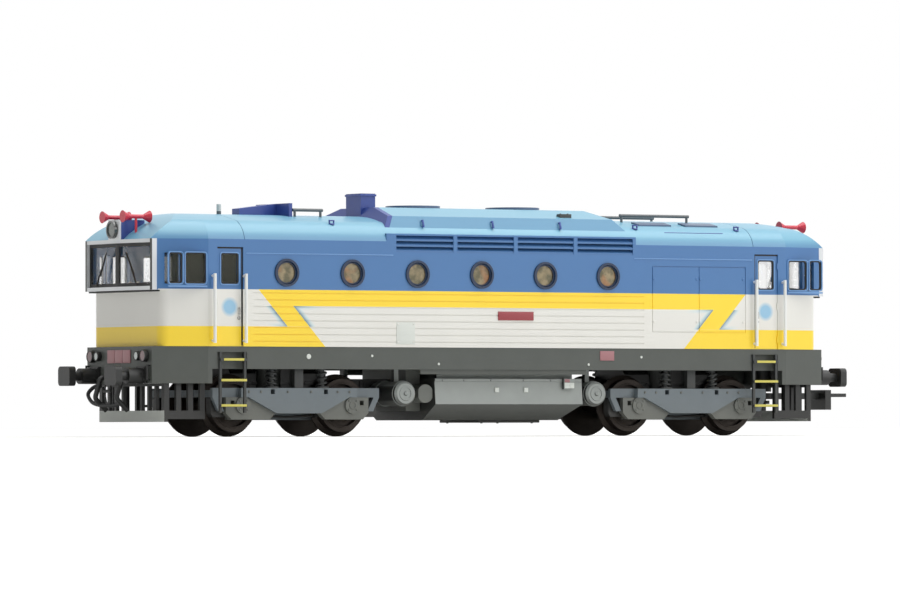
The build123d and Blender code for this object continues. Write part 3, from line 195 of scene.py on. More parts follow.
class LocoSizes(bpy.types.PropertyGroup):
    """Places of the paint lines and sizes of the small fittings."""
    stripe_top: length("Stripe top", "Upper edge of the stripe, above the rail", 30.5)
    stripe_bottom: length("Stripe bottom", "Lower edge of the stripe between the doors", 27.0)
    low_band: length("Low band", "Upper edge of the yellow band at the ends", 22.6)
    zigzag_outer: length("Zigzag outer", "Outer edge at the stripe's top, from the middle", 63.3)
    zigzag_inner: length("Zigzag inner", "Inner edge at the stripe's bottom, from the middle", 54.6)
    zigzag_middle: length("Zigzag middle", "Where the two zigzags mirror along the length", 0.7)
    disc_radius: length("Disc radius", "Plain disc on each door", 1.75)
    door_x: length("Door place", "Middle of a door, from the middle of the length", 69.6)
    door_width: length("Door width", "Width of a door", 6.4)
    frame_width: length("Frame width", "Width of a window frame", 0.24)
    wire: length("Wire", "Thickness of bent wire fittings", 0.34)


class LocoStage(bpy.types.PropertyGroup):
    """Floor, light and camera."""
    floor: colour("Floor", "Pale floor", 238, 238, 236)
    sky: setting("Sky", "Strength of the even light", 0.20, min=0.0)
    glow: setting("Glow", "White of the floor away from the model", 0.9)
    top_light: setting("Top light", "Power of the lamp overhead", 13.5, unit="POWER")
    key_light: setting("Key light", "Power of the lamp at the right", 4.6, unit="POWER")
    lens: setting("Lens", "Focal length", 282.405, unit="CAMERA")
    yaw: setting("Yaw", "Camera turn from straight across", math.radians(32.3437), subtype="ANGLE")
    pitch: setting("Pitch", "Camera tilt downwards", math.radians(-1.0314), subtype="ANGLE")
    roll: setting("Roll", "Camera roll", math.radians(-0.0955), subtype="ANGLE")


class Wiring:
    """Adds nodes to a tree and joins them."""

    def __init__(self, tree):
        self.tree = tree

    def put(self, socket, value):
        if isinstance(value, bpy.types.NodeSocket):
            self.tree.links.new(value, socket)
        else:
            socket.default_value = value

    def math(self, operation, first, second=0.0, clamp=False):
        node = self.tree.nodes.new("ShaderNodeMath")
        node.operation = operation
        node.use_clamp = clamp
        self.put(node.inputs[0], first)
        self.put(node.inputs[1], second)
        return node.outputs[0]

    def add(self, first, second):
        return self.math("ADD", first, second)

    def less(self, first, second):
        return self.math("SUBTRACT", first, second)

    def times(self, first, second):
        return self.math("MULTIPLY", first, second)

    def size(self, value):
        return self.math("ABSOLUTE", value)

    def share(self, value, whole):
        """Value over whole, held between 0 and 1."""
        return self.math("DIVIDE", value, whole, clamp=True)

    def radius(self, first, second):
        """Length of a line that goes first one way and second across it."""
        return self.math("SQRT", self.add(self.times(first, first), self.times(second, second)))

    def most(self, first, *others):
        for other in others:
            first = self.math("MAXIMUM", first, other)
        return first

    def all_of(self, first, *others):
        for other in others:
            first = self.times(first, other)
        return first

    def above(self, value, limit, sharp=14.0):
        """1 where value is over limit, 0 below, with a narrow soft edge."""
        return self.math("ADD", self.times(self.less(value, limit), sharp), 0.5, clamp=True)

    def below(self, value, limit, sharp=14.0):
        return self.above(self.times(value, -1.0), self.times(limit, -1.0), sharp)

    def fade(self, value, reach):
        """1 at 0, falling to 0 at reach."""
        return self.math("SUBTRACT", 1.0, self.math("DIVIDE", value, reach), clamp=True)

    def mix(self, share, first, second, blend="MIX"):
        """Two colours, plain ones or sockets, mixed by a share of the second."""
        node = self.tree.nodes.new("ShaderNodeMix")
        node.data_type = "RGBA"
        node.blend_type = blend
        self.put(node.inputs[0], share)
        for index, side in ((6, first), (7, second)):
            self.put(node.inputs[index], side if isinstance(side, bpy.types.NodeSocket) else rgba(side))
        return node.outputs[2]

    def shaded(self, base, value):
        """A colour made darker or lighter by a value."""
        tint = self.tree.nodes.new("ShaderNodeCombineColor")
        for socket in tint.inputs[:3]:
            self.put(socket, value)
        return self.mix(1.0, base, tint.outputs[0], "MULTIPLY")

    def place(self):
        """The point on the surface, in metres, in the model's own frame."""
        return self.tree.nodes.new("ShaderNodeTexCoord").outputs["Object"]

    def parts(self, vector):
        node = self.tree.nodes.new("ShaderNodeSeparateXYZ")
        self.put(node.inputs[0], vector)
        return node.outputs

    def facing(self, kind="True Normal"):
        """The way the surface faces, along, across and up."""
        return self.parts(self.tree.nodes.new("ShaderNodeNewGeometry").outputs[kind])

    def seen(self):
        """1 where the camera, a mirror or a pane shows the surface, 0 where it only gives light."""
        rays = self.tree.nodes.new("ShaderNodeLightPath").outputs
        return self.most(*(rays[f"Is {kind} Ray"] for kind in ("Camera", "Glossy", "Transmission")))

    def millimetres(self):
        """The point on the surface along, across and up, in millimetres."""
        return [self.times(part, 1 / MM) for part in self.parts(self.place())]

    def noise(self, scale, detail=2.0, roughness=0.5):
        node = self.tree.nodes.new("ShaderNodeTexNoise")
        node.noise_dimensions = "3D"
        self.put(node.inputs["Vector"], self.place())
        self.put(node.inputs["Scale"], scale)
        node.inputs["Detail"].default_value = detail
        node.inputs["Roughness"].default_value = roughness
        return node.outputs["Fac"]

    def cells(self, scale):
        node = self.tree.nodes.new("ShaderNodeTexVoronoi")
        self.put(node.inputs["Vector"], self.place())
        self.put(node.inputs["Scale"], scale)
        return node.outputs["Distance"]

    def spread(self, value, low, high):
        """Moves a 0 to 1 value into low to high."""
        return self.add(self.times(value, self.less(high, low)), low)

    def group(self, tree, **values):
        node = self.tree.nodes.new("ShaderNodeGroup")
        node.node_tree = tree
        for name, value in values.items():
            self.put(node.inputs[name.replace("_", " ")], value)
        return node.outputs


def rgba(values):
    return (*values, 1.0)


def new_group(name, inputs, outputs):
    """A shader node group: its tree, its wiring, and its input and output sockets by name."""
    tree = bpy.data.node_groups.new(name, "ShaderNodeTree")
    for label, kind, default in inputs:
        socket = tree.interface.new_socket(label, in_out="INPUT", socket_type=kind)
        socket.default_value = default
    for label, kind in outputs:
        tree.interface.new_socket(label, in_out="OUTPUT", socket_type=kind)
    given = tree.nodes.new("NodeGroupInput")
    result = tree.nodes.new("NodeGroupOutput")
    return tree, Wiring(tree), given.outputs, result.inputs


FLOAT = "NodeSocketFloat"
COLOUR = "NodeSocketColor"
GREY = (0.5, 0.5, 0.5, 1.0)
FILM_OUTPUTS = [("Color", COLOUR), ("Roughness", FLOAT), ("Height", FLOAT)]


def livery_group(colours, sizes):
    """Blue over a yellow zigzag over white, worked out from where the point is on the body."""
    slant = 0.92
    shadow_reach, shadow_height, upper_run, lower_run = 1.7, 0.9, 7.0, 5.0
    disc_height, disc_edge = 26.7, 1.1
    tree, wire, _, result = new_group("body_livery", [], [("Color", COLOUR)])
    x, _, z = wire.millimetres()
    height = wire.less(z, RAIL)
    along = wire.size(wire.less(x, sizes.zigzag_middle / MM))
    top, bottom, low = (getattr(sizes, name) / MM for name in ("stripe_top", "stripe_bottom", "low_band"))
    outer = wire.add(wire.times(wire.less(height, top), slant), sizes.zigzag_outer / MM)
    inner = wire.add(wire.times(wire.less(height, bottom), slant), sizes.zigzag_inner / MM)
    past_outer = wire.less(along, outer)
    within_inner = wire.less(inner, along)
    inside_outer = wire.below(past_outer, 0.0)
    beyond_inner = wire.below(within_inner, 0.0)
    in_stripe = wire.above(height, bottom)
    in_band = wire.below(height, low)
    over_band = wire.above(height, low)
    yellow = wire.most(
        wire.all_of(in_stripe, inside_outer),
        wire.all_of(over_band, inside_outer, beyond_inner),
        wire.all_of(in_band, beyond_inner),
    )
    # The shadow line follows the white side of the slanted edges and a little of the level ones
    under_stripe = wire.less(bottom, height)
    over_low = wire.less(height, low)
    slanted = wire.most(
        wire.all_of(wire.fade(within_inner, shadow_reach), wire.above(within_inner, 0.0), over_band),
        wire.all_of(wire.fade(past_outer, shadow_reach), wire.above(past_outer, 0.0), over_band),
    )
    level = wire.most(
        wire.all_of(wire.fade(under_stripe, shadow_height), wire.fade(within_inner, upper_run),
                    wire.above(within_inner, 0.0)),
        wire.all_of(wire.fade(over_low, shadow_height), wire.fade(past_outer, lower_run),
                    wire.above(past_outer, 0.0), over_band),
    )
    shadow = wire.times(wire.most(slanted, level), wire.below(height, bottom))
    colour_now = wire.mix(wire.math("POWER", shadow, 0.8), colours.white, colours.accent_fade)
    colour_now = wire.mix(wire.math("POWER", shadow, 2.0), colour_now, colours.accent)
    colour_now = wire.mix(yellow, colour_now, colours.yellow)
    # A plain disc on each door
    distance = wire.radius(wire.less(wire.size(x), sizes.door_x / MM), wire.less(height, disc_height))
    disc = wire.below(distance, sizes.disc_radius / MM, disc_edge)
    colour_now = wire.mix(disc, colour_now, colours.disc)
    colour_now = wire.mix(wire.above(height, top), colour_now, colours.blue)
    wire.put(result["Color"], colour_now)
    return tree


def paint_film_group():
    """Sprayed satin paint: faint mottling, orange peel and a little dust low down."""
    tree, wire, given, result = new_group(
        "paint_film",
        [("Color", COLOUR, GREY), ("Dust Color", COLOUR, GREY), ("Dust", FLOAT, 0.1), ("Gloss", FLOAT, 0.36)],
        FILM_OUTPUTS,
    )
    dust_reach = 9.0
    cloud = wire.noise(110.0, 4.0, 0.55)
    fine = wire.noise(900.0, 3.0, 0.6)
    peel = wire.noise(2600.0, 1.0, 0.4)
    paint = wire.shaded(given["Color"], wire.spread(cloud, 0.97, 1.03))
    low = wire.fade(wire.less(wire.millimetres()[2], FRAME_TOP), dust_reach)
    dusty = wire.all_of(low, given["Dust"], wire.spread(fine, 0.2, 1.4))
    wire.put(result["Color"], wire.mix(dusty, paint, given["Dust Color"]))
    rough = wire.add(given["Gloss"], wire.spread(fine, -0.03, 0.03))
    wire.put(result["Roughness"], wire.add(rough, wire.times(dusty, 0.4)))
    wire.put(result["Height"], wire.add(wire.times(peel, 0.7), wire.times(fine, 0.3)))
    return tree


def moulded_grain_group():
    """Moulded plastic: fine sparkle grain, soft patches and dust that thickens towards the floor."""
    tree, wire, given, result = new_group(
        "moulded_grain",
        [("Color", COLOUR, GREY), ("Dust Color", COLOUR, GREY), ("Dust", FLOAT, 0.2),
         ("Dust Top", FLOAT, 14.0), ("Roughness", FLOAT, 0.5), ("Grain", FLOAT, 3200.0)],
        FILM_OUTPUTS,
    )
    grain = wire.noise(given["Grain"], 2.0, 0.6)
    patch = wire.noise(160.0, 4.0, 0.6)
    pits = wire.cells(1500.0)
    plastic = wire.shaded(given["Color"], wire.spread(patch, 0.86, 1.14))
    low = wire.fade(wire.millimetres()[2], given["Dust Top"])
    dusty = wire.all_of(low, given["Dust"], wire.spread(patch, 0.3, 1.7))
    wire.put(result["Color"], wire.mix(dusty, plastic, given["Dust Color"]))
    wire.put(result["Roughness"], wire.add(given["Roughness"], wire.spread(grain, -0.09, 0.09)))
    wire.put(result["Height"], wire.add(wire.times(grain, 0.6), wire.times(pits, 0.4)))
    return tree


def turned_metal_group():
    """Bright metal with fine turning lines and a dull film."""
    tree, wire, given, result = new_group(
        "turned_metal",
        [("Color", COLOUR, GREY), ("Film Color", COLOUR, GREY), ("Film", FLOAT, 0.3),
         ("Roughness", FLOAT, 0.35)],
        FILM_OUTPUTS,
    )
    lines = wire.noise(5200.0, 1.0, 0.5)
    stain = wire.noise(260.0, 4.0, 0.65)
    film = wire.times(wire.spread(stain, -0.2, 1.5), given["Film"])
    film = wire.math("MAXIMUM", film, 0.0, clamp=True)
    wire.put(result["Color"], wire.mix(film, given["Color"], given["Film Color"]))
    wire.put(result["Roughness"], wire.add(given["Roughness"], wire.spread(stain, -0.1, 0.2)))
    wire.put(result["Height"], lines)
    return tree


def new_material(name):
    material = bpy.data.materials.new(name)
    material.use_nodes = True
    shader = material.node_tree.nodes["Principled BSDF"]
    return material, Wiring(material.node_tree), shader.inputs


def colour_from(wire, source):
    """A plain colour, the livery's colour, or a colour that a function works out from the place."""
    if isinstance(source, bpy.types.NodeTree):
        return wire.group(source)["Color"]
    return source(wire) if callable(source) else rgba(source)


def surfaced(name, tree, source, depth, strength, **values):
    """A material and its shader, with colour, roughness and relief from a node group."""
    material, wire, shader = new_material(name)
    out = wire.group(tree, Color=colour_from(wire, source), **values)
    wire.put(shader["Base Color"], out["Color"])
    wire.put(shader["Roughness"], out["Roughness"])
    relief = wire.tree.nodes.new("ShaderNodeBump")
    relief.inputs["Strength"].default_value = strength
    relief.inputs["Distance"].default_value = depth * MM
    wire.put(relief.inputs["Height"], out["Height"])
    wire.put(shader["Normal"], relief.outputs["Normal"])
    return material, shader


def clear_coat(shader, weight, roughness):
    shader["Coat Weight"].default_value = weight
    shader["Coat Roughness"].default_value = roughness


def glass(name, tint, alpha, roughness=0.04):
    """A clear pane: mostly seen through, with faint smears in its gloss."""
    material, wire, shader = new_material(name)
    smear = wire.noise(420.0, 3.0, 0.6)
    wire.put(shader["Roughness"], wire.spread(smear, roughness * 0.5, roughness * 2.2))
    shader["Base Color"].default_value = rgba(tint)
    shader["Transmission Weight"].default_value = 1.0
    shader["IOR"].default_value = 1.45
    wire.put(shader["Alpha"], wire.spread(wire.noise(900.0, 2.0), alpha * 0.9, alpha * 1.1))
    return material


def rim_colour(colours, wire):
    """Windscreen frame: white round its front edge, blue behind it, dark on the upright front faces."""
    edge_width, bar_width, bar_depth, turned_ahead = 1.15, 0.85, 0.3, 0.7
    x, y, _ = wire.millimetres()
    across = wire.size(y)
    edge = wire.add(wire.size(x), wire.times(across, SCREEN_SLOPE))
    base = wire.mix(wire.above(edge, GOGGLE_HIGH.x - edge_width), colours.blue, colours.rim)
    ahead = wire.above(wire.size(wire.facing()[0]), turned_ahead)
    upright = wire.all_of(ahead, wire.above(across, GOGGLE_HIGH.y - bar_width),
                          wire.above(edge, GOGGLE_HIGH.x - bar_depth))
    return wire.mix(upright, base, colours.black)


def roof_colour(colours, wire):
    """Body blue that pales where the roof turns to face up: a painted highlight from the light above."""
    start, run = 0.05, 0.5
    upward = wire.share(wire.less(wire.facing("Normal")[2], start), run)
    return wire.mix(upward, colours.blue, colours.roof_highlight_blue)


def cab_roof_colour(colours, wire):
    """The roof's blue, with the headlight's housing in the deep blue."""
    x, y, _ = wire.millimetres()
    housing = wire.all_of(wire.below(wire.size(y), HOUSING_HALF),
                          wire.above(wire.size(x), LAMP_X - HOUSING_LENGTH))
    return wire.mix(housing, roof_colour(colours, wire), colours.deep_blue)


def plough_colour(colours, wire):
    """Black bars over a pale front blade."""
    blade_depth = 1.0
    x, y, z = wire.millimetres()
    blade = wire.all_of(wire.below(z, PLOUGH_BLADE_TOP), wire.above(wire.size(x), PLOUGH_FRONT - blade_depth),
                        wire.below(wire.size(y), PLOUGH_HALF))
    return wire.mix(blade, colours.black, colours.blade)


def tank_colour(colours, wire):
    """Grey, with painted shade where it faces down and nearly black painted shade where it faces along the
    rails.
    """
    along, _, up = wire.facing()
    # Painted shade: darker on down-facing faces, nearly black on the end faces
    down = wire.share(up, -0.6)
    ended = wire.above(wire.size(along), 0.8)
    shaded_tank = wire.mix(wire.times(down, 0.8), colours.tank, colours.underside_shade)
    return wire.mix(wire.times(ended, 0.9), shaded_tank, colours.black)


def lamp_colour(wire):
    """Buffer beam lamps: a white lens towards the middle, a dark red one outside it."""
    red_from = 10.0
    outer = wire.above(wire.size(wire.millimetres()[1]), red_from)
    spots = wire.noise(1400.0, 2.0)
    white = wire.mix(spots, srgb(222, 228, 224), srgb(196, 206, 204))
    red = wire.mix(spots, srgb(120, 66, 70), srgb(88, 50, 54))
    return wire.mix(outer, white, red)


def headlight_colour(wire):
    """Top headlight: a dark ring round a grey green lens."""
    ring_width = 0.42
    _, y, z = wire.millimetres()
    lens = wire.mix(wire.noise(900.0, 3.0), srgb(112, 120, 114), srgb(82, 90, 86))
    outside = wire.above(wire.radius(y, wire.less(z, LAMP_Z)), LAMP_HIGH.y - ring_width)
    return wire.mix(outside, lens, srgb(58, 62, 60))


def rail_colour(wire):
    """Roof wire in grey, with the aerial's upper half pale."""
    aerial_reach = 1.0
    _, y, z = wire.millimetres()
    aerial = wire.all_of(wire.below(wire.size(y), aerial_reach), wire.above(z, AERIAL_PALE))
    return wire.mix(aerial, srgb(92, 96, 98), srgb(214, 216, 212))


def lens_material(name, source, roughness=0.16):
    """A moulded lens under a clear coat."""
    material, wire, shader = new_material(name)
    wire.put(shader["Base Color"], source(wire))
    wire.put(shader["Roughness"], wire.spread(wire.noise(700.0, 2.0), roughness * 0.7, roughness * 1.3))
    clear_coat(shader, 0.8, 0.05)
    return material


def blind_material(colours):
    """Porthole pane with a patchy tan blind behind it and orange glints painted in as highlights."""
    material, wire, shader = new_material("porthole_pane")
    patch = wire.noise(420.0, 3.0, 0.6)
    streak = wire.noise(1900.0, 2.0, 0.5)
    base = wire.mix(wire.above(patch, 0.5, 5.0), srgb(98, 92, 58), colours.blind)
    # Painted highlight: orange glints in the pane's colour
    glint = wire.above(wire.noise(260.0, 1.0), 0.58, 9.0)
    base = wire.mix(wire.times(glint, 0.6), base, srgb(186, 116, 58))
    base = wire.mix(wire.times(streak, 0.4), base, srgb(60, 56, 40))
    wire.put(shader["Base Color"], base)
    wire.put(shader["Roughness"], wire.spread(streak, 0.12, 0.24))
    clear_coat(shader, 0.6, 0.05)
    return material


FINISH = {}


def make_finishes(scene):
    colours = scene.loco_colours
    film, grain, turned = paint_film_group(), moulded_grain_group(), turned_metal_group()
    livery = livery_group(colours, scene.loco_sizes)
    dust_colour = rgba(colours.dust)

    def paint(name, source, gloss, dust=0.0):
        """Satin paint over a colour."""
        material, shader = surfaced(name, film, source, 0.008, 0.1, Dust_Color=dust_colour, Dust=dust,
                                    Gloss=gloss)
        clear_coat(shader, 0.12, 0.18)
        return material

    def plastic(name, source, dust, dust_top, roughness=0.5, sparkle=3200.0):
        """Moulded plastic with dust up to a height."""
        return surfaced(name, grain, source, 0.02, 0.3, Dust_Color=dust_colour, Dust=dust, Dust_Top=dust_top,
                        Roughness=roughness, Grain=sparkle)[0]

    def metal(name, base, dull, share, roughness, metallic):
        """Turned metal with a share of dull film."""
        material, shader = surfaced(name, turned, base, 0.008, 0.25, Film_Color=rgba(dull), Film=share,
                                    Roughness=roughness)
        shader["Metallic"].default_value = metallic
        return material

    FINISH.update({
        "body": paint("body_paint", livery, 0.36, 0.05),
        "roof": paint("roof_paint", partial(roof_colour, colours), 0.36),
        "cab_roof": paint("cab_roof_paint", partial(cab_roof_colour, colours), 0.36),
        "louvre": paint("louvre_paint", srgb(70, 114, 166), 0.36),
        "vent": paint("vent_paint", srgb(84, 104, 132), 0.4),
        "trim_blue": paint("window_trim_blue", srgb(104, 150, 202), 0.34),
        "trim_white": paint("trim_white", colours.rim, 0.34),
        "deep_blue": paint("deep_blue_paint", colours.deep_blue, 0.42),
        "rim": paint("windscreen_rim_paint", partial(rim_colour, colours), 0.34),
        "horn": paint("horn_red", colours.horn, 0.3),
        "plate": paint("blank_plate_red", colours.plate, 0.4),
        "beam_plate": paint("beam_plate_rose", srgb(158, 108, 112), 0.4),
        "access_panel": paint("access_panel_grey", srgb(214, 218, 212), 0.42),
        "wire_white": paint("handrail_white", srgb(236, 237, 235), 0.3),
        "tread": paint("step_tread_yellow", colours.tread, 0.5),
        "rails": paint("roof_wire", rail_colour, 0.4),
        "frame": plastic("frame_grey", colours.frame, 0.08, 16.0),
        "bogie": plastic("bogie_grey", colours.bogie, 0.12, 9.0),
        "gear": plastic("gear_grey", colours.gear, 0.12, 9.0),
        "tank": plastic("tank_grey", partial(tank_colour, colours), 0.05, 8.0),
        "black": plastic("black_plastic", colours.black, 0.08, 7.0, 0.45),
        "plough": plastic("plough_black", partial(plough_colour, colours), 0.05, 7.0, 0.45),
        "dark_grey": plastic("dark_grey_plastic", srgb(50, 53, 53), 0.10, 14.0),
        "rubber": plastic("black_rubber", srgb(20, 21, 22), 0.05, 7.0, 0.6, 4200.0),
        "porthole_rim": plastic("porthole_rubber", srgb(30, 46, 72), 0.0, 1.0, 0.5, 4200.0),
        "interior": plastic("cab_lining", colours.interior, 0.0, 1.0, 0.55),
        "seat": plastic("seat_cover", srgb(58, 60, 56), 0.0, 1.0, 0.7, 5200.0),
        "motor": plastic("motor_casting", srgb(72, 72, 68), 0.1, 20.0),
        "wheel": metal("wheel_steel", colours.steel, srgb(40, 33, 27), 0.75, 0.45, 0.6),
        "bright": metal("bright_steel", srgb(170, 170, 168), srgb(98, 92, 84), 0.3, 0.3, 0.95),
        "glass": glass("cab_glass", (0.95, 0.97, 0.95), 0.16),
        "beam_lamp": lens_material("buffer_beam_lens", lamp_colour),
        "headlight": lens_material("headlight_lens", headlight_colour, 0.22),
        "porthole": blind_material(colours),
    })


ENDS, SIDES, AXLES = ("front", "rear"), ("near", "far"), range(1, 5)
NODE_FINISHES = {
    "body": [*(f"side_wall_{side}" for side in SIDES), *(f"nose_{end}" for end in ENDS),
             *(f"cab_side_{end}_{side}" for end in ENDS for side in SIDES)],
    "roof": ["roof_middle", "cooler_hood"],
    "cab_roof": [f"cab_roof_{end}" for end in ENDS],
    "louvre": ["louvre_slats"],
    "vent": ["roof_vents"],
    "deep_blue": ["roof_scoop", "exhaust_stack"],
    "rim": [f"goggle_{end}" for end in ENDS],
    "horn": ["horns"],
    "wire_white": ["handrails"],
    "rails": ["roof_rails"],
    "headlight": ["top_headlights"],
    "frame": ["frame_deck", *(f"end_block_{end}" for end in ENDS)],
    "bogie": [f"bogie_frame_{end}" for end in ENDS],
    "gear": ["underfloor_equipment", *(f"axle_boxes_{end}" for end in ENDS)],
    "dark_grey": ["steps", *(f"springs_{end}" for end in ENDS)],
    "tank": ["fuel_tank", "air_reservoirs"],
    "plough": [f"plough_{end}" for end in ENDS],
    "black": ["buffers", "draw_hooks", "brake_pipes", "coupler", "coupler_post"],
    "rubber": ["windscreen_surrounds"],
    "porthole_rim": ["porthole_rims"],
    "interior": [f"cab_interior_{end}" for end in ENDS],
    "motor": ["motor_block"],
    "wheel": [f"wheelset_{number}" for number in AXLES],
    "glass": ["cab_glazing", "windscreens"],
    "porthole": ["porthole_glazing"],
    "beam_lamp": ["buffer_beam_lamps"],
}


def circle(count, turn=0.0):
    """Cosine and sine of places spaced evenly round a circle, turned by a part of one step."""
    angles = [2 * math.pi * (index + turn) / count for index in range(count)]
    return [(math.cos(angle), math.sin(angle)) for angle in angles]


class Shape:
    """Collects solid forms, drawn in millimetres, into one mesh."""

    def __init__(self):
        self.bm = bmesh.new()

    def faces_of(self, rings, close_ends=True):
        """Skins rings of points that follow each other."""
        rows = [[self.bm.verts.new(point) for point in ring] for ring in rings]
        for low, high in zip(rows, rows[1:]):
            for index in range(len(low)):
                after = (index + 1) % len(low)
                self.bm.faces.new((low[index], low[after], high[after], high[index]))
        if close_ends:
            self.bm.faces.new(list(reversed(rows[0])))
            self.bm.faces.new(rows[-1])

    def box(self, low, high, bevel=0.08):
        """A box with broken edges."""
        made = bmesh.ops.create_cube(self.bm, size=1.0)["verts"]
        low, high = Vector(low), Vector(high)
        for vert in made:
            vert.co = Vector(low[i] + (vert.co[i] + 0.5) * (high[i] - low[i]) for i in range(3))
        edges = list(dict.fromkeys(edge for vert in made for edge in vert.link_edges))
        bmesh.ops.bevel(self.bm, geom=edges, offset=bevel, segments=2, profile=0.7, affect="EDGES")

    def plate(self, along, up, face, proud, bevel, sunk=0.1):
        """A flat plate on the near side: its ends, its heights over the rail and the face it stands on."""
        self.box((along[0], face - proud, RAIL + up[0]), (along[1], face + sunk, RAIL + up[1]), bevel)
        return self

    def prism(self, points, axis, start, end):
        """An outline run along an axis: points are in the other two axes, in order."""
        def lift(point, level):
            placed = list(point)
            placed.insert("XYZ".index(axis), level)
            return placed
        self.faces_of([[lift(point, level) for point in points] for level in (start, end)])

    def turned(self, profile, centre, axis, sides=20, close_ends=True):
        """A profile of radius and height turned round an axis through centre."""
        place = Vector(axis).to_track_quat("Z", "Y").to_matrix()
        self.faces_of([[Vector(centre) + place @ Vector((radius * cos, radius * sin, height))
                        for cos, sin in circle(sides)] for radius, height in profile], close_ends)

    def disc(self, centre, axis, radius, rise, sides=20):
        """A flat round boss with a broken edge."""
        edge = min(0.3 * radius, 0.5 * rise)
        self.turned([(0.0, 0.0), (radius, 0.0), (radius, rise - edge), (radius - edge, rise), (0.0, rise)],
                    centre, axis, sides)

    def ring(self, centre, axis, inner, outer, rise, sides=28):
        """A collar with a broken outer edge."""
        edge = min(0.4 * (outer - inner), 0.5 * rise)
        self.turned([(inner, 0.0), (outer, 0.0), (outer, rise - edge), (outer - edge, rise), (inner, rise),
                     (inner, 0.0)], centre, axis, sides, close_ends=False)

    def bolts(self, places, axis=NEAR, radius=0.28, rise=0.2):
        """Six-sided bolt heads."""
        for place in places:
            self.disc(place, axis, radius, rise, 6)

    def handle(self, start, end, out, radius):
        """A bent wire handle that stands off a surface."""
        start, end, out = Vector(start), Vector(end), Vector(out)
        self.tube([start, start + out, end + out, end], radius)

    def curve(self, points, radius, steps=6, sides=8):
        """A smooth hose through points."""
        points = [Vector(point) for point in points]
        ends = [points[0] * 2 - points[1], *points, points[-1] * 2 - points[-2]]
        path = []
        for index in range(1, len(ends) - 2):
            p0, p1, p2, p3 = ends[index - 1:index + 3]
            for step in range(steps):
                t = step / steps
                path.append(0.5 * (2 * p1 + (p2 - p0) * t + (2 * p0 - 5 * p1 + 4 * p2 - p3) * t ** 2
                                   + (3 * p1 - p0 - 3 * p2 + p3) * t ** 3))
        self.tube([*path, points[-1]], radius, sides)

    def pillow(self, low, high, levels=8, sides=20):
        """A crowned cushion whose sides draw in towards its corners."""
        low, high = Vector(low), Vector(high)
        middle, half = (low + high) / 2, (high - low) / 2

        def square(value):
            return math.copysign(math.sqrt(abs(value)), value)

        rings = []
        for level in range(levels + 1):
            tilt = math.pi * (level / levels - 0.5)
            draw = math.sqrt(max(0.0, math.cos(tilt)))
            rings.append([(middle.x + half.x * draw * square(cos), middle.y + half.y * draw * square(sin),
                           middle.z + half.z * math.sin(tilt)) for cos, sin in circle(sides)])
        self.faces_of(rings)

    def tube(self, points, radius, sides=8):
        """Bent wire through points, mitred at each bend."""
        points = [Vector(point) for point in points]
        rings = []
        lead = (points[1] - points[0]).normalized()
        side_way = lead.orthogonal().normalized()
        for index, point in enumerate(points):
            before = (point - points[index - 1]).normalized() if index else lead
            after = (points[index + 1] - point).normalized() if index + 1 < len(points) else before
            way = (before + after).normalized()
            side_way = (side_way - way * side_way.dot(way)).normalized()
            other = way.cross(side_way)
            stretch = 1 / max(0.5, way.dot(before))
            rings.append([point + (side_way * cos + other * sin) * radius * stretch
                          for cos, sin in circle(sides)])
        self.faces_of(rings)

    def window_ring(self, x0, x1, z0, z1, width, radius, y0, y1):
        """A rounded frame round an opening, between two depths."""
        def loop(grow, level):
            points = []
            for x, z, start in ((x1, z1, 0), (x0, z1, 90), (x0, z0, 180), (x1, z0, 270)):
                x -= math.copysign(radius, x - (x0 + x1) / 2)
                z -= math.copysign(radius, z - (z0 + z1) / 2)
                for step in range(4):
                    angle = math.radians(start + 30 * step)
                    points.append((x + (radius + grow) * math.cos(angle), level,
                                   z + (radius + grow) * math.sin(angle)))
            return points
        rings = [loop(0, y0), loop(width, y0), loop(width, y1), loop(0, y1), loop(0, y0)]
        self.faces_of(rings, close_ends=False)

    def move(self, matrix):
        bmesh.ops.transform(self.bm, matrix=matrix, verts=self.bm.verts)
        return self

    def copy_across(self, axis):
        """Adds the mirror image across the middle plane of an axis."""
        copied = bmesh.ops.duplicate(self.bm, geom=self.bm.verts[:] + self.bm.edges[:] + self.bm.faces[:])
        verts = [item for item in copied["geom"] if isinstance(item, bmesh.types.BMVert)]
        for vert in verts:
            vert.co["XYZ".index(axis)] *= -1
        return self

    def four_corners(self):
        return self.copy_across("Y").copy_across("X")

    def piece(self, name, finish, slot, body="body", smooth=35):
        """Makes the mesh an object of one finish that rides on a body."""
        weld = 0.0005
        bmesh.ops.remove_doubles(self.bm, verts=self.bm.verts, dist=weld)
        bmesh.ops.recalc_face_normals(self.bm, faces=self.bm.faces)
        bmesh.ops.scale(self.bm, vec=(MM, MM, MM), verts=self.bm.verts)
        mesh = bpy.data.meshes.new(name)
        self.bm.to_mesh(mesh)
        self.bm.free()
        mesh.shade_smooth()
        mesh.set_sharp_from_angle(angle=math.radians(smooth))
        mesh.materials.append(FINISH[finish])
        made = bpy.data.objects.new(name, mesh)
        bpy.context.scene.collection.objects.link(made)
        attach(made, body)
        return made


def taper_place():
    """Puts a shape drawn along the wall, inwards and up onto the near tapered cab side of the +X end."""
    return Matrix.Translation((TAPER_START, -WALL_Y, 0)) @ Matrix.Rotation(TAPER, 4, "Z")


def roof_at(x, y):
    """Height of the roof's outer skin over a place in plan."""
    clear = 10.0
    above = Vector((x, y, CAD_BOX[1].z / MM + clear)) * MM
    hits = []
    for name in ("roof_middle", "cab_roof_front", "cab_roof_rear"):
        mesh = frame["nodes"][name].data
        tree = BVHTree.FromPolygons([vert.co for vert in mesh.vertices],
                                    [face.vertices for face in mesh.polygons])
        hits.append(tree.ray_cast(above, Vector(DOWN))[0])
    heights = [hit.z / MM for hit in hits if hit]
    if not heights:
        raise RuntimeError(f"no roof over {x}, {y}")
    return max(heights)


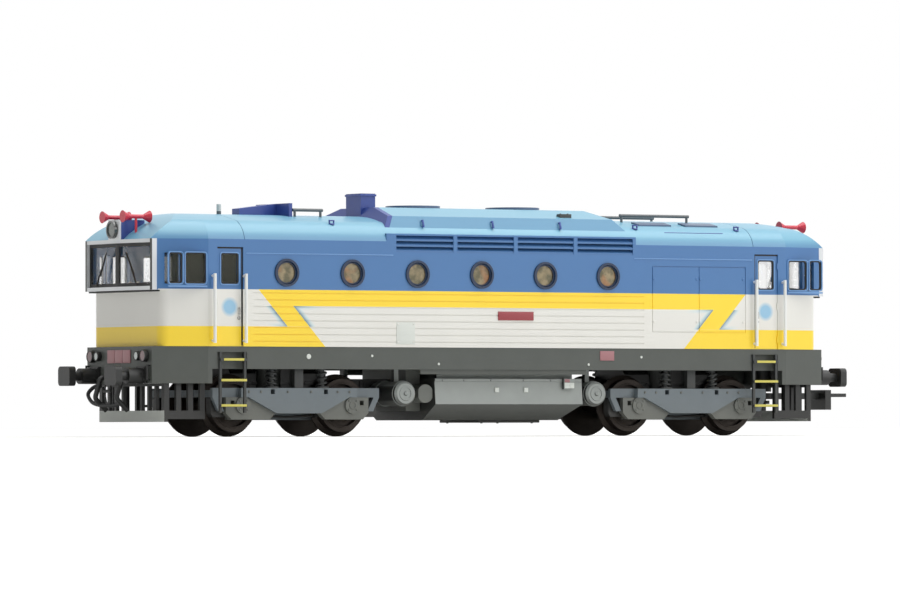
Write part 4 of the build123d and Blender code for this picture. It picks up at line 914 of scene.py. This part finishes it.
class LOCO_OT_finishes(bpy.types.Operator):
    """Make the finishes and give each node of the model its own"""
    bl_idname = "loco.finishes"
    bl_label = "Finishes"

    def execute(self, context):
        make_finishes(context.scene)
        for finish, names in NODE_FINISHES.items():
            for name in names:
                node = frame["nodes"][name]
                node.data.materials.clear()
                node.data.materials.append(FINISH[finish])
        unpainted = set(frame["nodes"]) - {name for names in NODE_FINISHES.values() for name in names}
        if unpainted:
            raise RuntimeError(f"no finish for {sorted(unpainted)}")
        return {"FINISHED"}


# Panes of a cab side, along the tapered wall from the bend
CAB_PANES = [(0.6, 5.7), (6.4, 9.7)]
PANE_LOW = FRAME_TOP + 13.3
PANE_HIGH = PANE_LOW + 6.6
PANE_CORNER = 0.45
DOOR_PANE_HALF = 2.2


class LOCO_OT_window_frames(bpy.types.Operator):
    """Add the raised frames, sills and rubber strips of the cab and door windows"""
    bl_idname = "loco.window_frames"
    bl_label = "Window frames"

    def execute(self, context):
        sizes = context.scene.loco_sizes
        width = sizes.frame_width / MM
        strip, sill, sill_gap = 0.3, 0.5, 0.15

        def frame_pane(trims, strips, start, end, face, trim_depth, strip_proud, strip_depth):
            """A painted frame round a pane and a rubber strip inside it."""
            trims.window_ring(start, end, PANE_LOW, PANE_HIGH, width, PANE_CORNER, face - 0.14,
                              face + trim_depth)
            strips.window_ring(start + strip, end - strip, PANE_LOW + strip, PANE_HIGH - strip, strip,
                               PANE_CORNER, face + strip_proud, face + strip_depth)

        trims, strips, door_trims, door_strips = Shape(), Shape(), Shape(), Shape()
        for start, end in CAB_PANES:
            frame_pane(trims, strips, start, end, 0.0, 0.3, 0.08, 0.5)
        trims.box((CAB_PANES[0][0] - width, -0.2, PANE_LOW - width - sill),
                  (CAB_PANES[-1][1] + width, 0.1, PANE_LOW - width - sill_gap), 0.06)
        trims.move(taper_place())
        strips.move(taper_place())
        door_x = sizes.door_x / MM
        left, right = door_x - DOOR_PANE_HALF, door_x + DOOR_PANE_HALF
        frame_pane(door_trims, door_strips, left, right, DOOR_FACE, 0.2, -0.02, 0.3)
        for shape, name, finish, slot in ((trims, "cab_window_frames", "trim_blue", "body_paint"),
                                          (strips, "cab_window_strips", "rubber", "black_plastic"),
                                          (door_trims, "door_window_frames", "trim_blue", "body_paint"),
                                          (door_strips, "door_window_strips", "rubber", "black_plastic")):
            shape.four_corners().piece(name, finish, slot)
        return {"FINISHED"}


class LOCO_OT_door_fittings(bpy.types.Operator):
    """Add the seams, hinges and handles of the four doors"""
    bl_idname = "loco.door_fittings"
    bl_label = "Door fittings"

    def execute(self, context):
        sizes = context.scene.loco_sizes
        door_x = sizes.door_x / MM
        half = sizes.door_width / MM / 2
        inner, outer = door_x - half, door_x + half
        seam, seam_front, seam_back, seam_bevel = 0.34, DOOR_FACE - 0.08, DOOR_FACE + 0.1, 0.03
        seams = Shape()
        seams.box((inner, seam_front, FRAME_TOP + 0.2), (inner + seam, seam_back, DOOR_TOP), seam_bevel)
        seams.box((inner, seam_front, DOOR_TOP - seam), (outer, seam_back, DOOR_TOP), seam_bevel)
        seams.four_corners().piece("door_seams", "rubber", "black_plastic")
        handles = Shape()
        handle_x, handle_z, grip, lock_drop = inner + 0.95, FRAME_TOP + 8.2, 1.3, 0.8
        handles.handle((handle_x, DOOR_FACE, handle_z), (handle_x, DOOR_FACE, handle_z - grip), (0, -0.45, 0),
                       sizes.wire / MM * 0.35)
        handles.disc((handle_x, DOOR_FACE, handle_z - grip - lock_drop), NEAR, 0.42, 0.16, 12)
        handles.four_corners().piece("door_handles", "bright", "wire_grey")
        hinges = Shape()
        hinge, hinge_half = 0.22, 0.7
        for level in (2.2, 9.6, 18.6):
            hinges.turned([(0.0, -hinge_half), (hinge, -hinge_half), (hinge, hinge_half), (0.0, hinge_half)],
                          (outer - 0.1, DOOR_FACE - 0.12, FRAME_TOP + level), UP, 10)
        hinges.four_corners().piece("door_hinges", "body", "body_paint")
        return {"FINISHED"}


class LOCO_OT_screen_fittings(bpy.types.Operator):
    """Add the wipers of each windscreen, a dark strip of painted shade under each windscreen, and the plate
    behind each top headlight
    """
    bl_idname = "loco.screen_fittings"
    bl_label = "Windscreen fittings"

    def execute(self, context):
        set_back = 0.45
        foot_z = BELT + 1.2

        def on_screen(y, z, proud):
            return (GOGGLE_HIGH.x - set_back - abs(y) * SCREEN_SLOPE + proud, y, z)

        wipers = Shape()
        rise, lower = 6.9, 0.3
        # Each wiper: its foot and its tip across the screen
        for foot, tip in ((-8.6, -4.3), (8.6, 4.3)):
            wipers.tube([on_screen(foot, foot_z, 0.1), on_screen(foot, foot_z, 0.45),
                         on_screen((foot + tip) / 2, foot_z + rise / 2, 0.42)], 0.17)
            wipers.tube([on_screen(foot + (tip - foot) * lower, foot_z + rise * lower, 0.25),
                         on_screen(tip, foot_z + rise, 0.25)], 0.2, 6)
        wipers.copy_across("X").piece("wipers", "rubber", "black_plastic")
        # Dark strip under each windscreen: painted shade where the windscreen overhangs the nose
        lips = Shape()
        corner, strip_back, inset = GOGGLE_HIGH.y - 0.6, 85.0, 0.5
        lips.prism([(strip_back, -corner), (GOGGLE_CORNER_X - inset, -corner), (GOGGLE_HIGH.x - inset, 0.0),
                    (GOGGLE_CORNER_X - inset, corner), (strip_back, corner)], "Z", BELT - 0.35, BELT - 0.02)
        lips.copy_across("X").piece("windscreen_shade_strips", "rubber", "black_plastic")
        plates = Shape()
        plate_half, plate_low, plate_high = LAMP_HIGH.y + 0.5, LAMP_LOW.z - 0.35, LAMP_HIGH.z + 0.25
        plates.box((LAMP_X - 0.4, -plate_half, plate_low), (LAMP_X + 0.06, plate_half, plate_high), 0.05)
        plates.copy_across("X").piece("headlight_plates", "trim_white", "rim_paint")
        return {"FINISHED"}


class LOCO_OT_cab_fittings(bpy.types.Operator):
    """Add the cushions, instruments and controls of the two cabs"""
    bl_idname = "loco.cab_fittings"
    bl_label = "Cab fittings"

    def execute(self, context):
        seat_y, cushion_half = 6.5, 2.15
        cushions = Shape()
        for y in (-seat_y, seat_y):
            left, right = y - cushion_half, y + cushion_half
            cushions.pillow((71.4, left, SEAT_TOP - 0.1), (75.4, right, SEAT_TOP + 0.9))
            cushions.pillow((71.0, left, SEAT_TOP + 1.3), (71.9, right, SEAT_BACK_TOP - 0.1))
        cushions.copy_across("X").piece("seat_cushions", "seat", "interior_grey")
        hoods, dials = Shape(), Shape()
        desk_front, hood_back, hood_rise = 82.6, 80.9, 1.5
        hood_low, hood_high = DESK_TOP - 0.05, DESK_TOP + hood_rise
        hoods.prism([(hood_back, hood_low), (desk_front, hood_low), (desk_front, hood_high),
                     (hood_back + 0.5, hood_high)], "Y", -10.2, -3.0)
        lean = 0.3
        face_lean = (-math.cos(lean), 0, math.sin(lean))
        for y in (-9.2, -7.6, -6.0, -4.4):
            dial = (hood_back + 0.22, y, DESK_TOP + 0.72)
            dials.ring(dial, face_lean, 0.42, 0.6, 0.12, 16)
            dials.disc(dial, face_lean, 0.44, 0.06, 16)
        lever_foot, lever_tip = 79.9, 79.7
        for y in (-3.9, 4.6, 8.2):
            dials.tube([(lever_foot, y, DESK_TOP - 0.1), (lever_tip, y, DESK_TOP + 1.5)], 0.14)
            dials.disc((lever_tip, y, DESK_TOP + 1.35), UP, 0.3, 0.4, 10)
        hoods.copy_across("X").piece("instrument_hoods", "dark_grey", "interior_grey")
        dials.copy_across("X").piece("cab_controls", "bright", "interior_grey")
        return {"FINISHED"}


class LOCO_OT_roof_fittings(bpy.types.Operator):
    """Add the lifting eyes and the seams of the roof"""
    bl_idname = "loco.roof_fittings"
    bl_label = "Roof fittings"

    def execute(self, context):
        wire = context.scene.loco_sizes.wire / MM / 2
        eyes = Shape()
        eye_y, reach = 14.6, 0.55
        for x in (-42.7, 36.0, 63.2):
            for y in (-eye_y, eye_y):
                foot = roof_at(x, y)
                eyes.disc((x, y, foot - 0.15), UP, 0.62, 0.32, 14)
                eyes.handle((x - reach, y, foot), (x + reach, y, foot), (0, 0, 0.75), wire)
        eyes.piece("lifting_eyes", "deep_blue", "roof_paint")
        seams = Shape()
        # Long seam of the removable roof panel on each side
        start, end, seam_y, steps = 43.2, 58.9, 15.6, 6
        for y in (-seam_y, seam_y):
            places = [start + (end - start) * step / steps for step in range(steps + 1)]
            seams.tube([(x, y, roof_at(x, y)) for x in places], 0.09, 6)
        seams.piece("roof_seams", "deep_blue", "roof_paint")
        return {"FINISHED"}


class LOCO_OT_hood_fittings(bpy.types.Operator):
    """Add the handles, the box and the stack's lip on the cooler hood"""
    bl_idname = "loco.hood_fittings"
    bl_label = "Hood fittings"

    def execute(self, context):
        wire = context.scene.loco_sizes.wire / MM / 2
        handles = Shape()
        shoulder = HOOD_HIGH.y - 0.75
        low, high = HOOD_LOW.z + 1.6, HOOD_LOW.z + 2.9
        for x in (-20.0, -2.0, 15.6):
            handles.handle((x, -shoulder - 0.1, low), (x, -shoulder + 0.3, high), (0, -0.55, 0.1), wire)
        handles.copy_across("Y").piece("hood_handles", "deep_blue", "roof_paint")
        boxes = Shape()
        box_top = HOOD_LOW.z + 5.0
        boxes.box((16.8, -13.6, HOOD_LOW.z + 3.7), (19.9, -12.2, box_top), 0.15)
        boxes.bolts([(x, -12.9, box_top - 0.02) for x in (17.4, 19.3)], UP, 0.22, 0.15)
        boxes.piece("hood_boxes", "dark_grey", "roof_paint")
        lips = Shape()
        stack_high = span("exhaust_stack")[1]
        lip = 0.2
        lips.box((STACK_X[0] - lip, -STACK_HALF - lip, stack_high.z - 0.6),
                 (STACK_X[1] + lip, STACK_HALF + lip, stack_high.z - 0.15), 0.08)
        lips.piece("stack_lip", "deep_blue", "dark_blue")
        return {"FINISHED"}


class LOCO_OT_side_fittings(bpy.types.Operator):
    """Add the blank plates, panels, latches and trim lines of the side walls"""
    bl_idname = "loco.side_fittings"
    bl_label = "Side fittings"

    def execute(self, context):
        plates = Shape().plate((-1.8, 7.4), (24.3, 26.2), -WALL_Y, 0.22, 0.1)
        plates.copy_across("Y").piece("side_plates", "plate", "horn_red")
        panel_x, panel_z, panel_proud, bolt_inset = (-27.9, -23.2), (19.0, 23.7), 0.1, 0.4
        panels = Shape().plate(panel_x, panel_z, -WALL_Y, panel_proud, 0.06)
        panels.copy_across("Y").piece("filler_panels", "access_panel", "body_paint")
        latches = Shape()
        for seam in (38.8, 51.3):
            for level in (6.0, 15.5):
                for x in (seam + 0.5, seam + 12.0):
                    latches.disc((x, -WALL_Y, FRAME_TOP + level), NEAR, 0.34, 0.14, 12)
        latches.bolts([(x, -WALL_Y - panel_proud, RAIL + z)
                       for x in (panel_x[0] + bolt_inset, panel_x[1] - bolt_inset)
                       for z in (panel_z[0] + bolt_inset, panel_z[1] - bolt_inset)], NEAR, 0.2, 0.1)
        latches.copy_across("Y").piece("panel_latches", "body", "body_paint")
        # Pale line along the groove, with the louvres' band left free
        lines = Shape()
        for start, end in ((WALL_LOW.x + 0.3, HOOD_LOW.x + 0.5), (HOOD_HIGH.x - 0.5, WALL_HIGH.x - 0.3)):
            lines.box((start, -WALL_Y - 0.1, GROOVE - 0.1), (end, -WALL_Y + 0.05, GROOVE + 0.12), 0.03)
        lines.copy_across("Y").piece("groove_lines", "trim_blue", "body_paint")
        rings = Shape()
        rim_z = (RIM_LOW.z + RIM_HIGH.z) / 2
        radius = (RIM_HIGH.z - RIM_LOW.z) / 2
        bolt_circle, bolt_count = radius - 0.25, 8
        for index in range(PORTHOLE_COUNT):
            x = RIM_LOW.x + radius + index * PORTHOLE_PITCH
            rings.ring((x, -WALL_Y + 0.28, rim_z), NEAR, radius - 0.85, radius - 0.52, 0.3, 32)
            for cos, sin in circle(bolt_count, 0.5):
                rings.disc((x + bolt_circle * cos, RIM_LOW.y, rim_z + bolt_circle * sin), NEAR, 0.12, 0.06, 8)
        rings.copy_across("Y").piece("porthole_rings", "porthole_rim", "black_plastic")
        return {"FINISHED"}


class LOCO_OT_beam_fittings(bpy.types.Operator):
    """Add the blank plates, lamp rims, bolts, couplings and hoses of the buffer beams"""
    bl_idname = "loco.beam_fittings"
    bl_label = "Buffer beam fittings"

    def execute(self, context):
        plates = Shape()
        plate_width = 3.2
        for left in (-4.9, -1.6, 1.7):
            plates.box((BEAM_X - 0.1, left, FRAME_TOP - 3.5),
                       (BEAM_X + 0.22, left + plate_width, FRAME_TOP - 0.7), 0.1)
        plates.copy_across("X").piece("beam_plates", "beam_plate", "horn_red")
        rims = Shape()
        lamp_z = FRAME_TOP - 2.0
        # Each lamp: its place across the beam and its radius
        for y, radius in ((-11.4, 1.1), (-8.6, 0.8)):
            rims.ring((BEAM_X, y, lamp_z), AHEAD, radius + 0.01, radius + 0.24, 1.0, 24)
        rims.four_corners().piece("beam_lamp_rims", "black", "black_plastic")
        fittings = Shape()
        for y in (-11.6, -8.5):
            for z in (12.2, 14.6):
                fittings.disc((BEAM_X + 0.6, y, z), AHEAD, 0.32, 0.22, 6)
        fittings.handle((BEAM_X - 0.05, -13.1, 12.2), (BEAM_X - 0.05, -13.1, 15.2), (0.8, 0, 0), 0.2)
        fittings.four_corners().piece("buffer_bolts", "black", "black_plastic", smooth=20)
        # Screw coupling that hangs from each draw hook: links, spindle and shackle
        couplings = Shape()
        hook_x, hook_z, half, link = BEAM_X + 2.6, 12.6, 1.1, 0.22
        shackle_x, shackle_z, shackle_half = hook_x + 0.1, hook_z - 5.4, half * 0.8
        for side in (-1, 1):
            y = half * side
            couplings.tube([(hook_x, y, hook_z), (hook_x + 0.3, y, hook_z - 2.2)], link)
            couplings.tube([(hook_x + 0.4, y, hook_z - 3.4), (shackle_x, shackle_half * side, shackle_z)],
                           link)
        # Bars across it: set ahead of the hook, height, half the length, thickness
        for ahead, z, reach, radius in ((0.1, shackle_z, shackle_half, link), (0.35, hook_z - 2.8, 1.5, 0.34),
                                        (0.0, hook_z, 1.4, 0.24)):
            couplings.tube([(hook_x + ahead, -reach, z), (hook_x + ahead, reach, z)], radius)
        couplings.copy_across("X").piece("screw_couplings", "black", "black_plastic")
        # Brake hose that loops below the front beam, from the far buffer to the near pipe
        hoses = Shape()
        loop_x = -BEAM_X - 2.2
        tap_y, tap_z, pipe_y, pipe_z = 8.4, 11.2, 4.6, 12.76
        drop = ((9.7, 9.2), (8.2, 7.6), (5.4, 6.9), (1.4, 6.7), (-2.2, 6.8), (-pipe_y, 7.2))
        hoses.curve([(-BEAM_X + 0.2, tap_y, tap_z), (-BEAM_X - 1.2, 9.2, 10.6),
                     *((loop_x, y, z) for y, z in drop)], 0.42)
        for y in (-pipe_y, pipe_y):
            hoses.ring((-BEAM_X, y, pipe_z), BACK, 0.5, 0.95, 0.5, 14)
        hoses.disc((-BEAM_X + 0.1, tap_y, tap_z), BACK, 0.8, 0.5, 14)
        hoses.piece("front_hoses", "rubber", "black_plastic")
        return {"FINISHED"}


class LOCO_OT_frame_fittings(bpy.types.Operator):
    """Add the blank plates and jacking marks of the frame sills, and the shaft casings under the deck"""
    bl_idname = "loco.frame_fittings"
    bl_label = "Frame fittings"

    def execute(self, context):
        plates = Shape().plate((25.0, 28.7), (15.6, 17.7), -FRAME_Y, 0.14, 0.06)
        plates.copy_across("Y").piece("frame_plates", "beam_plate", "horn_red")
        marks = Shape()
        marks.disc((-50.0, -FRAME_Y, RAIL + 16.2), NEAR, 0.55, 0.14, 24)
        for x, z in ((-17.0, 14.7), (22.0, 14.7), (-34.0, 16.4), (36.0, 16.4)):
            marks.disc((x, -FRAME_Y, RAIL + z), NEAR, 0.28, 0.12, 12)
        marks.copy_across("Y").piece("jacking_marks", "access_panel", "frame_grey")
        # Casings of the drive shafts under the deck, each with its start and end, and three ribs round it
        casings = Shape()
        casing_half, casing_low, casing_high = 4.0, 12.2, DECK_BOTTOM + 0.1
        rib, rib_half = 0.3, 0.35
        for start, end in ((-36.0, -21.5), (22.9, 36.0)):
            casings.box((start, -casing_half, casing_low), (end, casing_half, casing_high), 0.3)
            for share in (0.15, 0.5, 0.85):
                x = start + (end - start) * share
                casings.box((x - rib_half, -casing_half - rib, casing_low - rib),
                            (x + rib_half, casing_half + rib, casing_high), 0.1)
        casings.piece("shaft_casings", "black", "black_plastic")
        return {"FINISHED"}


class LOCO_OT_step_edges(bpy.types.Operator):
    """Add the yellow edges and chequer bars of the steps"""
    bl_idname = "loco.step_edges"
    bl_label = "Step edges"

    def execute(self, context):
        low, high = span("steps")
        edge_y = low.y
        edges = Shape()
        step_half = 3.3
        middle = high.x - step_half
        bars, bar_pitch, bar_half = 6, 0.95, 0.15
        # Each tread: height over the rail, half the width of its edge
        for level, half in ((15.2, 2.5), (10.8, 3.15), (5.4, 3.15)):
            z = RAIL + level
            edges.box((middle - half, edge_y - 0.06, z + 0.04), (middle + half, edge_y + 0.2, z + 0.54), 0.05)
            for bar in range(bars):
                x = middle + (bar - (bars - 1) / 2) * bar_pitch * half / step_half
                edges.box((x - bar_half, edge_y + 0.1, z + 0.44), (x + bar_half, edge_y + 0.9, z + 0.56), 0.03)
        edges.four_corners().piece("step_edges", "tread", "body_paint")
        return {"FINISHED"}


class LOCO_OT_tank_fittings(bpy.types.Operator):
    """Add the skid plate, flange, filler and drum bands below the floor"""
    bl_idname = "loco.tank_fittings"
    bl_label = "Tank fittings"

    def execute(self, context):
        bottom_z, top_z, top_y = RAIL + 2.5, RAIL + 11.6, 14.5
        skid_low, flange_face = bottom_z - 0.55, -top_y - 0.25
        skids = Shape()
        skids.box((-1.0, -8.0, skid_low), (15.0, 8.0, bottom_z), 0.12)
        skids.bolts([(x, y, skid_low) for x in (0.4, 13.6) for y in (-7.0, 7.0)], DOWN, 0.3, 0.15)
        skids.piece("tank_skid", "dark_grey", "tank_grey")
        flanges = Shape()
        flanges.box((TANK_LOW.x, flange_face, top_z - 0.7),
                    (TANK_HIGH.x - 0.1, -top_y + 0.6, top_z - 0.05), 0.1)
        flanges.bolts([(x, flange_face, top_z - 0.38) for x in (-14.5, -9.0, -2.0, 6.5, 13.6)],
                      NEAR, 0.22, 0.16)
        flanges.copy_across("Y").piece("tank_flanges", "tank", "tank_grey")
        filler_x = 16.75
        fillers = Shape().plate((filler_x, 19.25), (9.5, 10.7), TANK_LOW.y, 0.1, 0.08)
        fillers.disc((18.4, TANK_LOW.y - 0.1, RAIL + 10.1), NEAR, 0.4, 0.12, 16)
        fillers.piece("filler_plate", "access_panel", "body_paint")
        caps = Shape().plate((filler_x, 18.1), (10.8, 11.5), TANK_LOW.y, 0.08, 0.06)
        caps.piece("filler_cap", "beam_plate", "horn_red")
        marks = Shape()
        tank_face, gauge_half = -15.0, 0.5
        for x in (-0.6, 7.0):
            marks.plate((x - gauge_half, x + gauge_half), (8.6, 9.6), tank_face, 0.05, 0.05, 0.8)
        marks.copy_across("Y").piece("tank_gauges", "access_panel", "body_paint")
        bands = Shape()
        for x in RESERVOIRS:
            for y in (-13.2, -6.0):
                bands.ring((x, y, RESERVOIR_Z), NEAR, RESERVOIR_RADIUS - 0.02, RESERVOIR_RADIUS + 0.16,
                           0.7, 32)
            bands.ring((x, tank_face, RESERVOIR_Z), NEAR, 1.3, 1.6, 0.12, 24)
            bands.disc((x, tank_face, RESERVOIR_Z), NEAR, 0.5, 0.3, 12)
        bands.copy_across("Y").piece("reservoir_bands", "tank", "tank_grey")
        return {"FINISHED"}


class LOCO_OT_bogie_fittings(bpy.types.Operator):
    """Add the bolts, springs, brakes, sand boxes and gear towers of the two bogies"""
    bl_idname = "loco.bogie_fittings"
    bl_label = "Bogie fittings"

    def execute(self, context):
        for name, x in zip(ENDS, (-PIVOT_X, PIVOT_X)):
            place = Matrix.Translation((x, 0, 0))
            body = f"bogie_{name}"
            bolts = self.bolts().four_corners().move(place)
            bolts.piece(f"bogie_bolts_{name}", "gear", "gear_grey", body, smooth=20)
            brakes = self.brakes().four_corners().move(place)
            brakes.piece(f"bogie_brakes_{name}", "black", "black_plastic", body)
            coils = self.springs().move(place).piece(f"coil_springs_{name}", "dark_grey", "gear_grey", body)
            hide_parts(f"springs_{name}")
            towers = self.towers().copy_across("X").move(place)
            towers.piece(f"gear_towers_{name}", "black", "black_plastic", body)
        return {"FINISHED"}

    def bolts(self):
        """Bolts of the side frame and of the axle box covers."""
        shape = Shape()
        shape.bolts([(x, -BOGIE_FACE, BOGIE_TOP - 0.85) for x in (2.9, 9.6, 12.6)])
        cover_y, bolt_circle = -14.5, 1.35
        for cos, sin in circle(4, 0.5):
            shape.disc((AXLE_X + bolt_circle * cos, cover_y, AXLE_Z + bolt_circle * sin), NEAR, 0.24, 0.16, 6)
        shape.ring((AXLE_X, cover_y, AXLE_Z), NEAR, 0.62, 0.9, 0.12, 24)
        return shape

    def springs(self):
        """Wound coil springs between cups, and the side bearer between each pair."""
        shape = Shape()
        turns, radius, wire, steps = 4.5, 0.98, 0.26, 14
        low, high = BOGIE_TOP + wire, SPRING_TOP - wire
        count = int(turns * steps)
        coil = []
        for step in range(count + 1):
            angle = 2 * math.pi * step / steps
            coil.append((SPRING_X + radius * math.cos(angle), -SPRING_Y + radius * math.sin(angle),
                         low + (high - low) * step / count))
        shape.tube(coil, wire)
        foot, cap = (SPRING_X, -SPRING_Y, BOGIE_TOP), 0.35
        shape.disc(foot, UP, 0.62, SPRING_TOP - BOGIE_TOP, 16)
        shape.ring(foot, UP, 1.26, 1.6, 0.4, 24)
        shape.disc((SPRING_X, -SPRING_Y, SPRING_TOP - cap), UP, 1.22, cap, 24)
        shape.four_corners()
        bearer = 1.1
        outer, inner = SPRING_Y + bearer, SPRING_Y - 1.0
        for y0, y1 in ((-outer, -inner), (inner, outer)):
            shape.box((-bearer, y0, BOGIE_TOP), (bearer, y1, SPRING_TOP), 0.15)
        return shape

    def brakes(self):
        """Brake block and hanger inside each wheel, the pull rod, and the sand box outside it."""
        shape = Shape()
        near, far, rod_y = WHEEL_TREAD + 0.25, WHEEL_TREAD + 1.35, -9.0
        angles = [math.radians(158 + 11 * step) for step in range(5)]
        turns = [(near, angle) for angle in angles] + [(far, angle) for angle in reversed(angles)]
        outline = [(AXLE_X + radius * math.cos(angle), AXLE_Z + radius * math.sin(angle))
                   for radius, angle in turns]
        shape.prism(outline, "Y", -9.9, -8.2)
        block_x = AXLE_X - far
        shape.tube([(block_x + 0.3, rod_y, AXLE_Z), (5.3, rod_y, AXLE_Z + 1.9)], 0.32)
        shape.tube([(block_x + 0.5, rod_y, AXLE_Z - 2.2), (0.0, rod_y, AXLE_Z - 2.5)], 0.26)
        shape.prism([(17.2, 4.2), (20.2, 4.2), (20.7, 5.0), (20.7, 8.3), (17.2, 8.3)], "Y", -12.5, -10.6)
        shape.disc((18.9, -11.5, 8.2), UP, 0.7, 0.5, 16)
        return shape

    def towers(self):
        """Worm housing on the gear case, with its flange and bolts."""
        shape = Shape()
        start, end, half, low, high, slant = 5.6, 12.0, 6.0, 9.0, 15.0, 1.4
        shape.prism([(-half, low), (half, low), (half, high - slant), (half - slant, high),
                     (slant - half, high), (-half, high - slant)], "X", start, end)
        rim = half + 0.3
        shape.box((start - 0.1, -rim, low + 2.2), (end + 0.25, rim, low + 2.9), 0.12)
        for y in (-rim, rim):
            shape.bolts([(x, y, low + 2.55) for x in (6.6, 8.8, 11.0)], (0, y, 0), 0.22, 0.14)
        return shape


class LOCO_OT_wheel_faces(bpy.types.Operator):
    """Add the hub rings and lightening holes on the wheel faces"""
    bl_idname = "loco.wheel_faces"
    bl_label = "Wheel faces"

    def execute(self, context):
        hole_circle, hole_count = 3.2, 6
        axles = [pivot + axle for pivot in (-PIVOT_X, PIVOT_X) for axle in (-AXLE_X, AXLE_X)]
        for number, x in zip(AXLES, axles):
            rings = Shape()
            rings.ring((x, -WHEEL_FACE, AXLE_Z), NEAR, 1.25, 1.75, 0.14, 32)
            rings.ring((x, -WHEEL_FACE, AXLE_Z), NEAR, 4.6, 4.9, 0.12, 48)
            for cos, sin in circle(hole_count):
                rings.ring((x + hole_circle * cos, -WHEEL_FACE, AXLE_Z + hole_circle * sin), NEAR,
                           0.6, 0.82, 0.1, 16)
            wheelset = f"wheelset_{number}"
            rings.copy_across("Y").piece(f"wheel_rings_{number}", "wheel", "wheel_steel", wheelset)
        return {"FINISHED"}


class LOCO_OT_stage(bpy.types.Operator):
    """Make the floor, the lights and the camera"""
    bl_idname = "loco.stage"
    bl_label = "Stage"

    def execute(self, context):
        stage = context.scene.loco_stage
        self.make_floor(stage)
        self.make_light(context.scene, stage)
        self.make_camera(context.scene, stage)
        return {"FINISHED"}

    def make_floor(self, stage):
        mesh = bpy.data.meshes.new("floor")
        reach = 6.0
        mesh.from_pydata([(-reach, -reach, 0), (reach, -reach, 0), (reach, reach, 0), (-reach, reach, 0)], [],
                         [(0, 1, 2, 3)])
        material, wire, shader = new_material("floor_card")
        mottle = wire.noise(14.0, 3.0, 0.5)
        base = wire.mix(wire.times(mottle, 0.06), stage.floor, srgb(225, 225, 222))
        wire.put(shader["Base Color"], base)
        wire.put(shader["Roughness"], wire.spread(mottle, 0.75, 0.85))
        # Away from the model the floor turns white, as seen or mirrored, without lighting the model
        x, y, _ = wire.millimetres()
        near, far = 130.0, 420.0
        away = wire.share(wire.less(wire.radius(x, y), near), far - near)
        wire.put(shader["Emission Color"], base)
        wire.put(shader["Emission Strength"], wire.all_of(away, wire.seen(), stage.glow))
        mesh.materials.append(material)
        floor = bpy.data.objects.new("floor", mesh)
        bpy.context.scene.collection.objects.link(floor)

    def make_light(self, scene, stage):
        scene.view_settings.view_transform = "Standard"
        world = bpy.data.worlds.new("studio")
        scene.world = world
        world.use_nodes = True
        wire = Wiring(world.node_tree)
        background = world.node_tree.nodes["Background"]
        background.inputs["Color"].default_value = (1.0, 1.0, 1.0, 1.0)
        wire.put(background.inputs["Strength"], wire.spread(wire.seen(), stage.sky, 1.0))
        aim = Vector((0, 0, 0.025))
        # Each lamp: name, power, place and size, in metres
        lamps = [("top_lamp", stage.top_light, (0.15, -0.15, 1.0), 1.2),
                 ("key_lamp", stage.key_light, (0.75, -1.0, 0.55), 0.8)]
        for name, power, place, size in lamps:
            lamp = bpy.data.lights.new(name, "AREA")
            lamp.energy = power
            lamp.size = size
            made = bpy.data.objects.new(name, lamp)
            made.location = place
            made.rotation_mode = "QUATERNION"
            made.rotation_quaternion = (aim - Vector(place)).to_track_quat("-Z", "Y")
            scene.collection.objects.link(made)

    def make_camera(self, scene, stage):
        camera = bpy.data.cameras.new("camera")
        camera.lens = stage.lens
        camera.sensor_width = 36.0
        camera.clip_start = 0.05
        camera.clip_end = 50.0
        made = bpy.data.objects.new("camera", camera)
        level = math.cos(stage.pitch)
        ahead = Vector((math.sin(stage.yaw) * level, math.cos(stage.yaw) * level, -math.sin(stage.pitch)))
        right = Vector((math.cos(stage.yaw), -math.sin(stage.yaw), 0))
        up = right.cross(ahead)
        turn, lean = math.cos(stage.roll), math.sin(stage.roll)
        axes = Matrix((right * turn + up * lean, up * turn - right * lean, -ahead)).transposed()
        place = Vector((-835.27, -1313.90, 2.0)) * MM
        made.matrix_world = Matrix.Translation(place) @ axes.to_4x4()
        scene.collection.objects.link(made)
        scene.camera = made


OPERATORS = (
    LOCO_OT_finishes,
    LOCO_OT_window_frames,
    LOCO_OT_door_fittings,
    LOCO_OT_screen_fittings,
    LOCO_OT_cab_fittings,
    LOCO_OT_roof_fittings,
    LOCO_OT_hood_fittings,
    LOCO_OT_side_fittings,
    LOCO_OT_beam_fittings,
    LOCO_OT_frame_fittings,
    LOCO_OT_step_edges,
    LOCO_OT_tank_fittings,
    LOCO_OT_bogie_fittings,
    LOCO_OT_wheel_faces,
    LOCO_OT_stage,
)


class LOCO_PT_panel(bpy.types.Panel):
    """Lists the steps that dress the locomotive"""
    bl_idname = "LOCO_PT_panel"
    bl_label = "Locomotive"
    bl_space_type = "VIEW_3D"
    bl_region_type = "UI"
    bl_category = "Locomotive"

    def draw(self, context):
        for operator in OPERATORS:
            self.layout.operator(operator.bl_idname)
        for name in SETTINGS:
            group = getattr(context.scene, name)
            box = self.layout.box()
            for key in group.__annotations__:
                box.prop(group, key)


SETTINGS = {"loco_colours": LocoColours, "loco_sizes": LocoSizes, "loco_stage": LocoStage}
CLASSES = (*SETTINGS.values(), *OPERATORS, LOCO_PT_panel)


def register():
    for made in CLASSES:
        bpy.utils.register_class(made)
    for name, group in SETTINGS.items():
        setattr(bpy.types.Scene, name, PointerProperty(type=group))


def unregister():
    for name in SETTINGS:
        delattr(bpy.types.Scene, name)
    for made in reversed(CLASSES):
        bpy.utils.unregister_class(made)


def main():
    register()
    for operator in OPERATORS:
        family, name = operator.bl_idname.split(".")
        getattr(getattr(bpy.ops, family), name)()


if __name__ == "__main__":
    main()
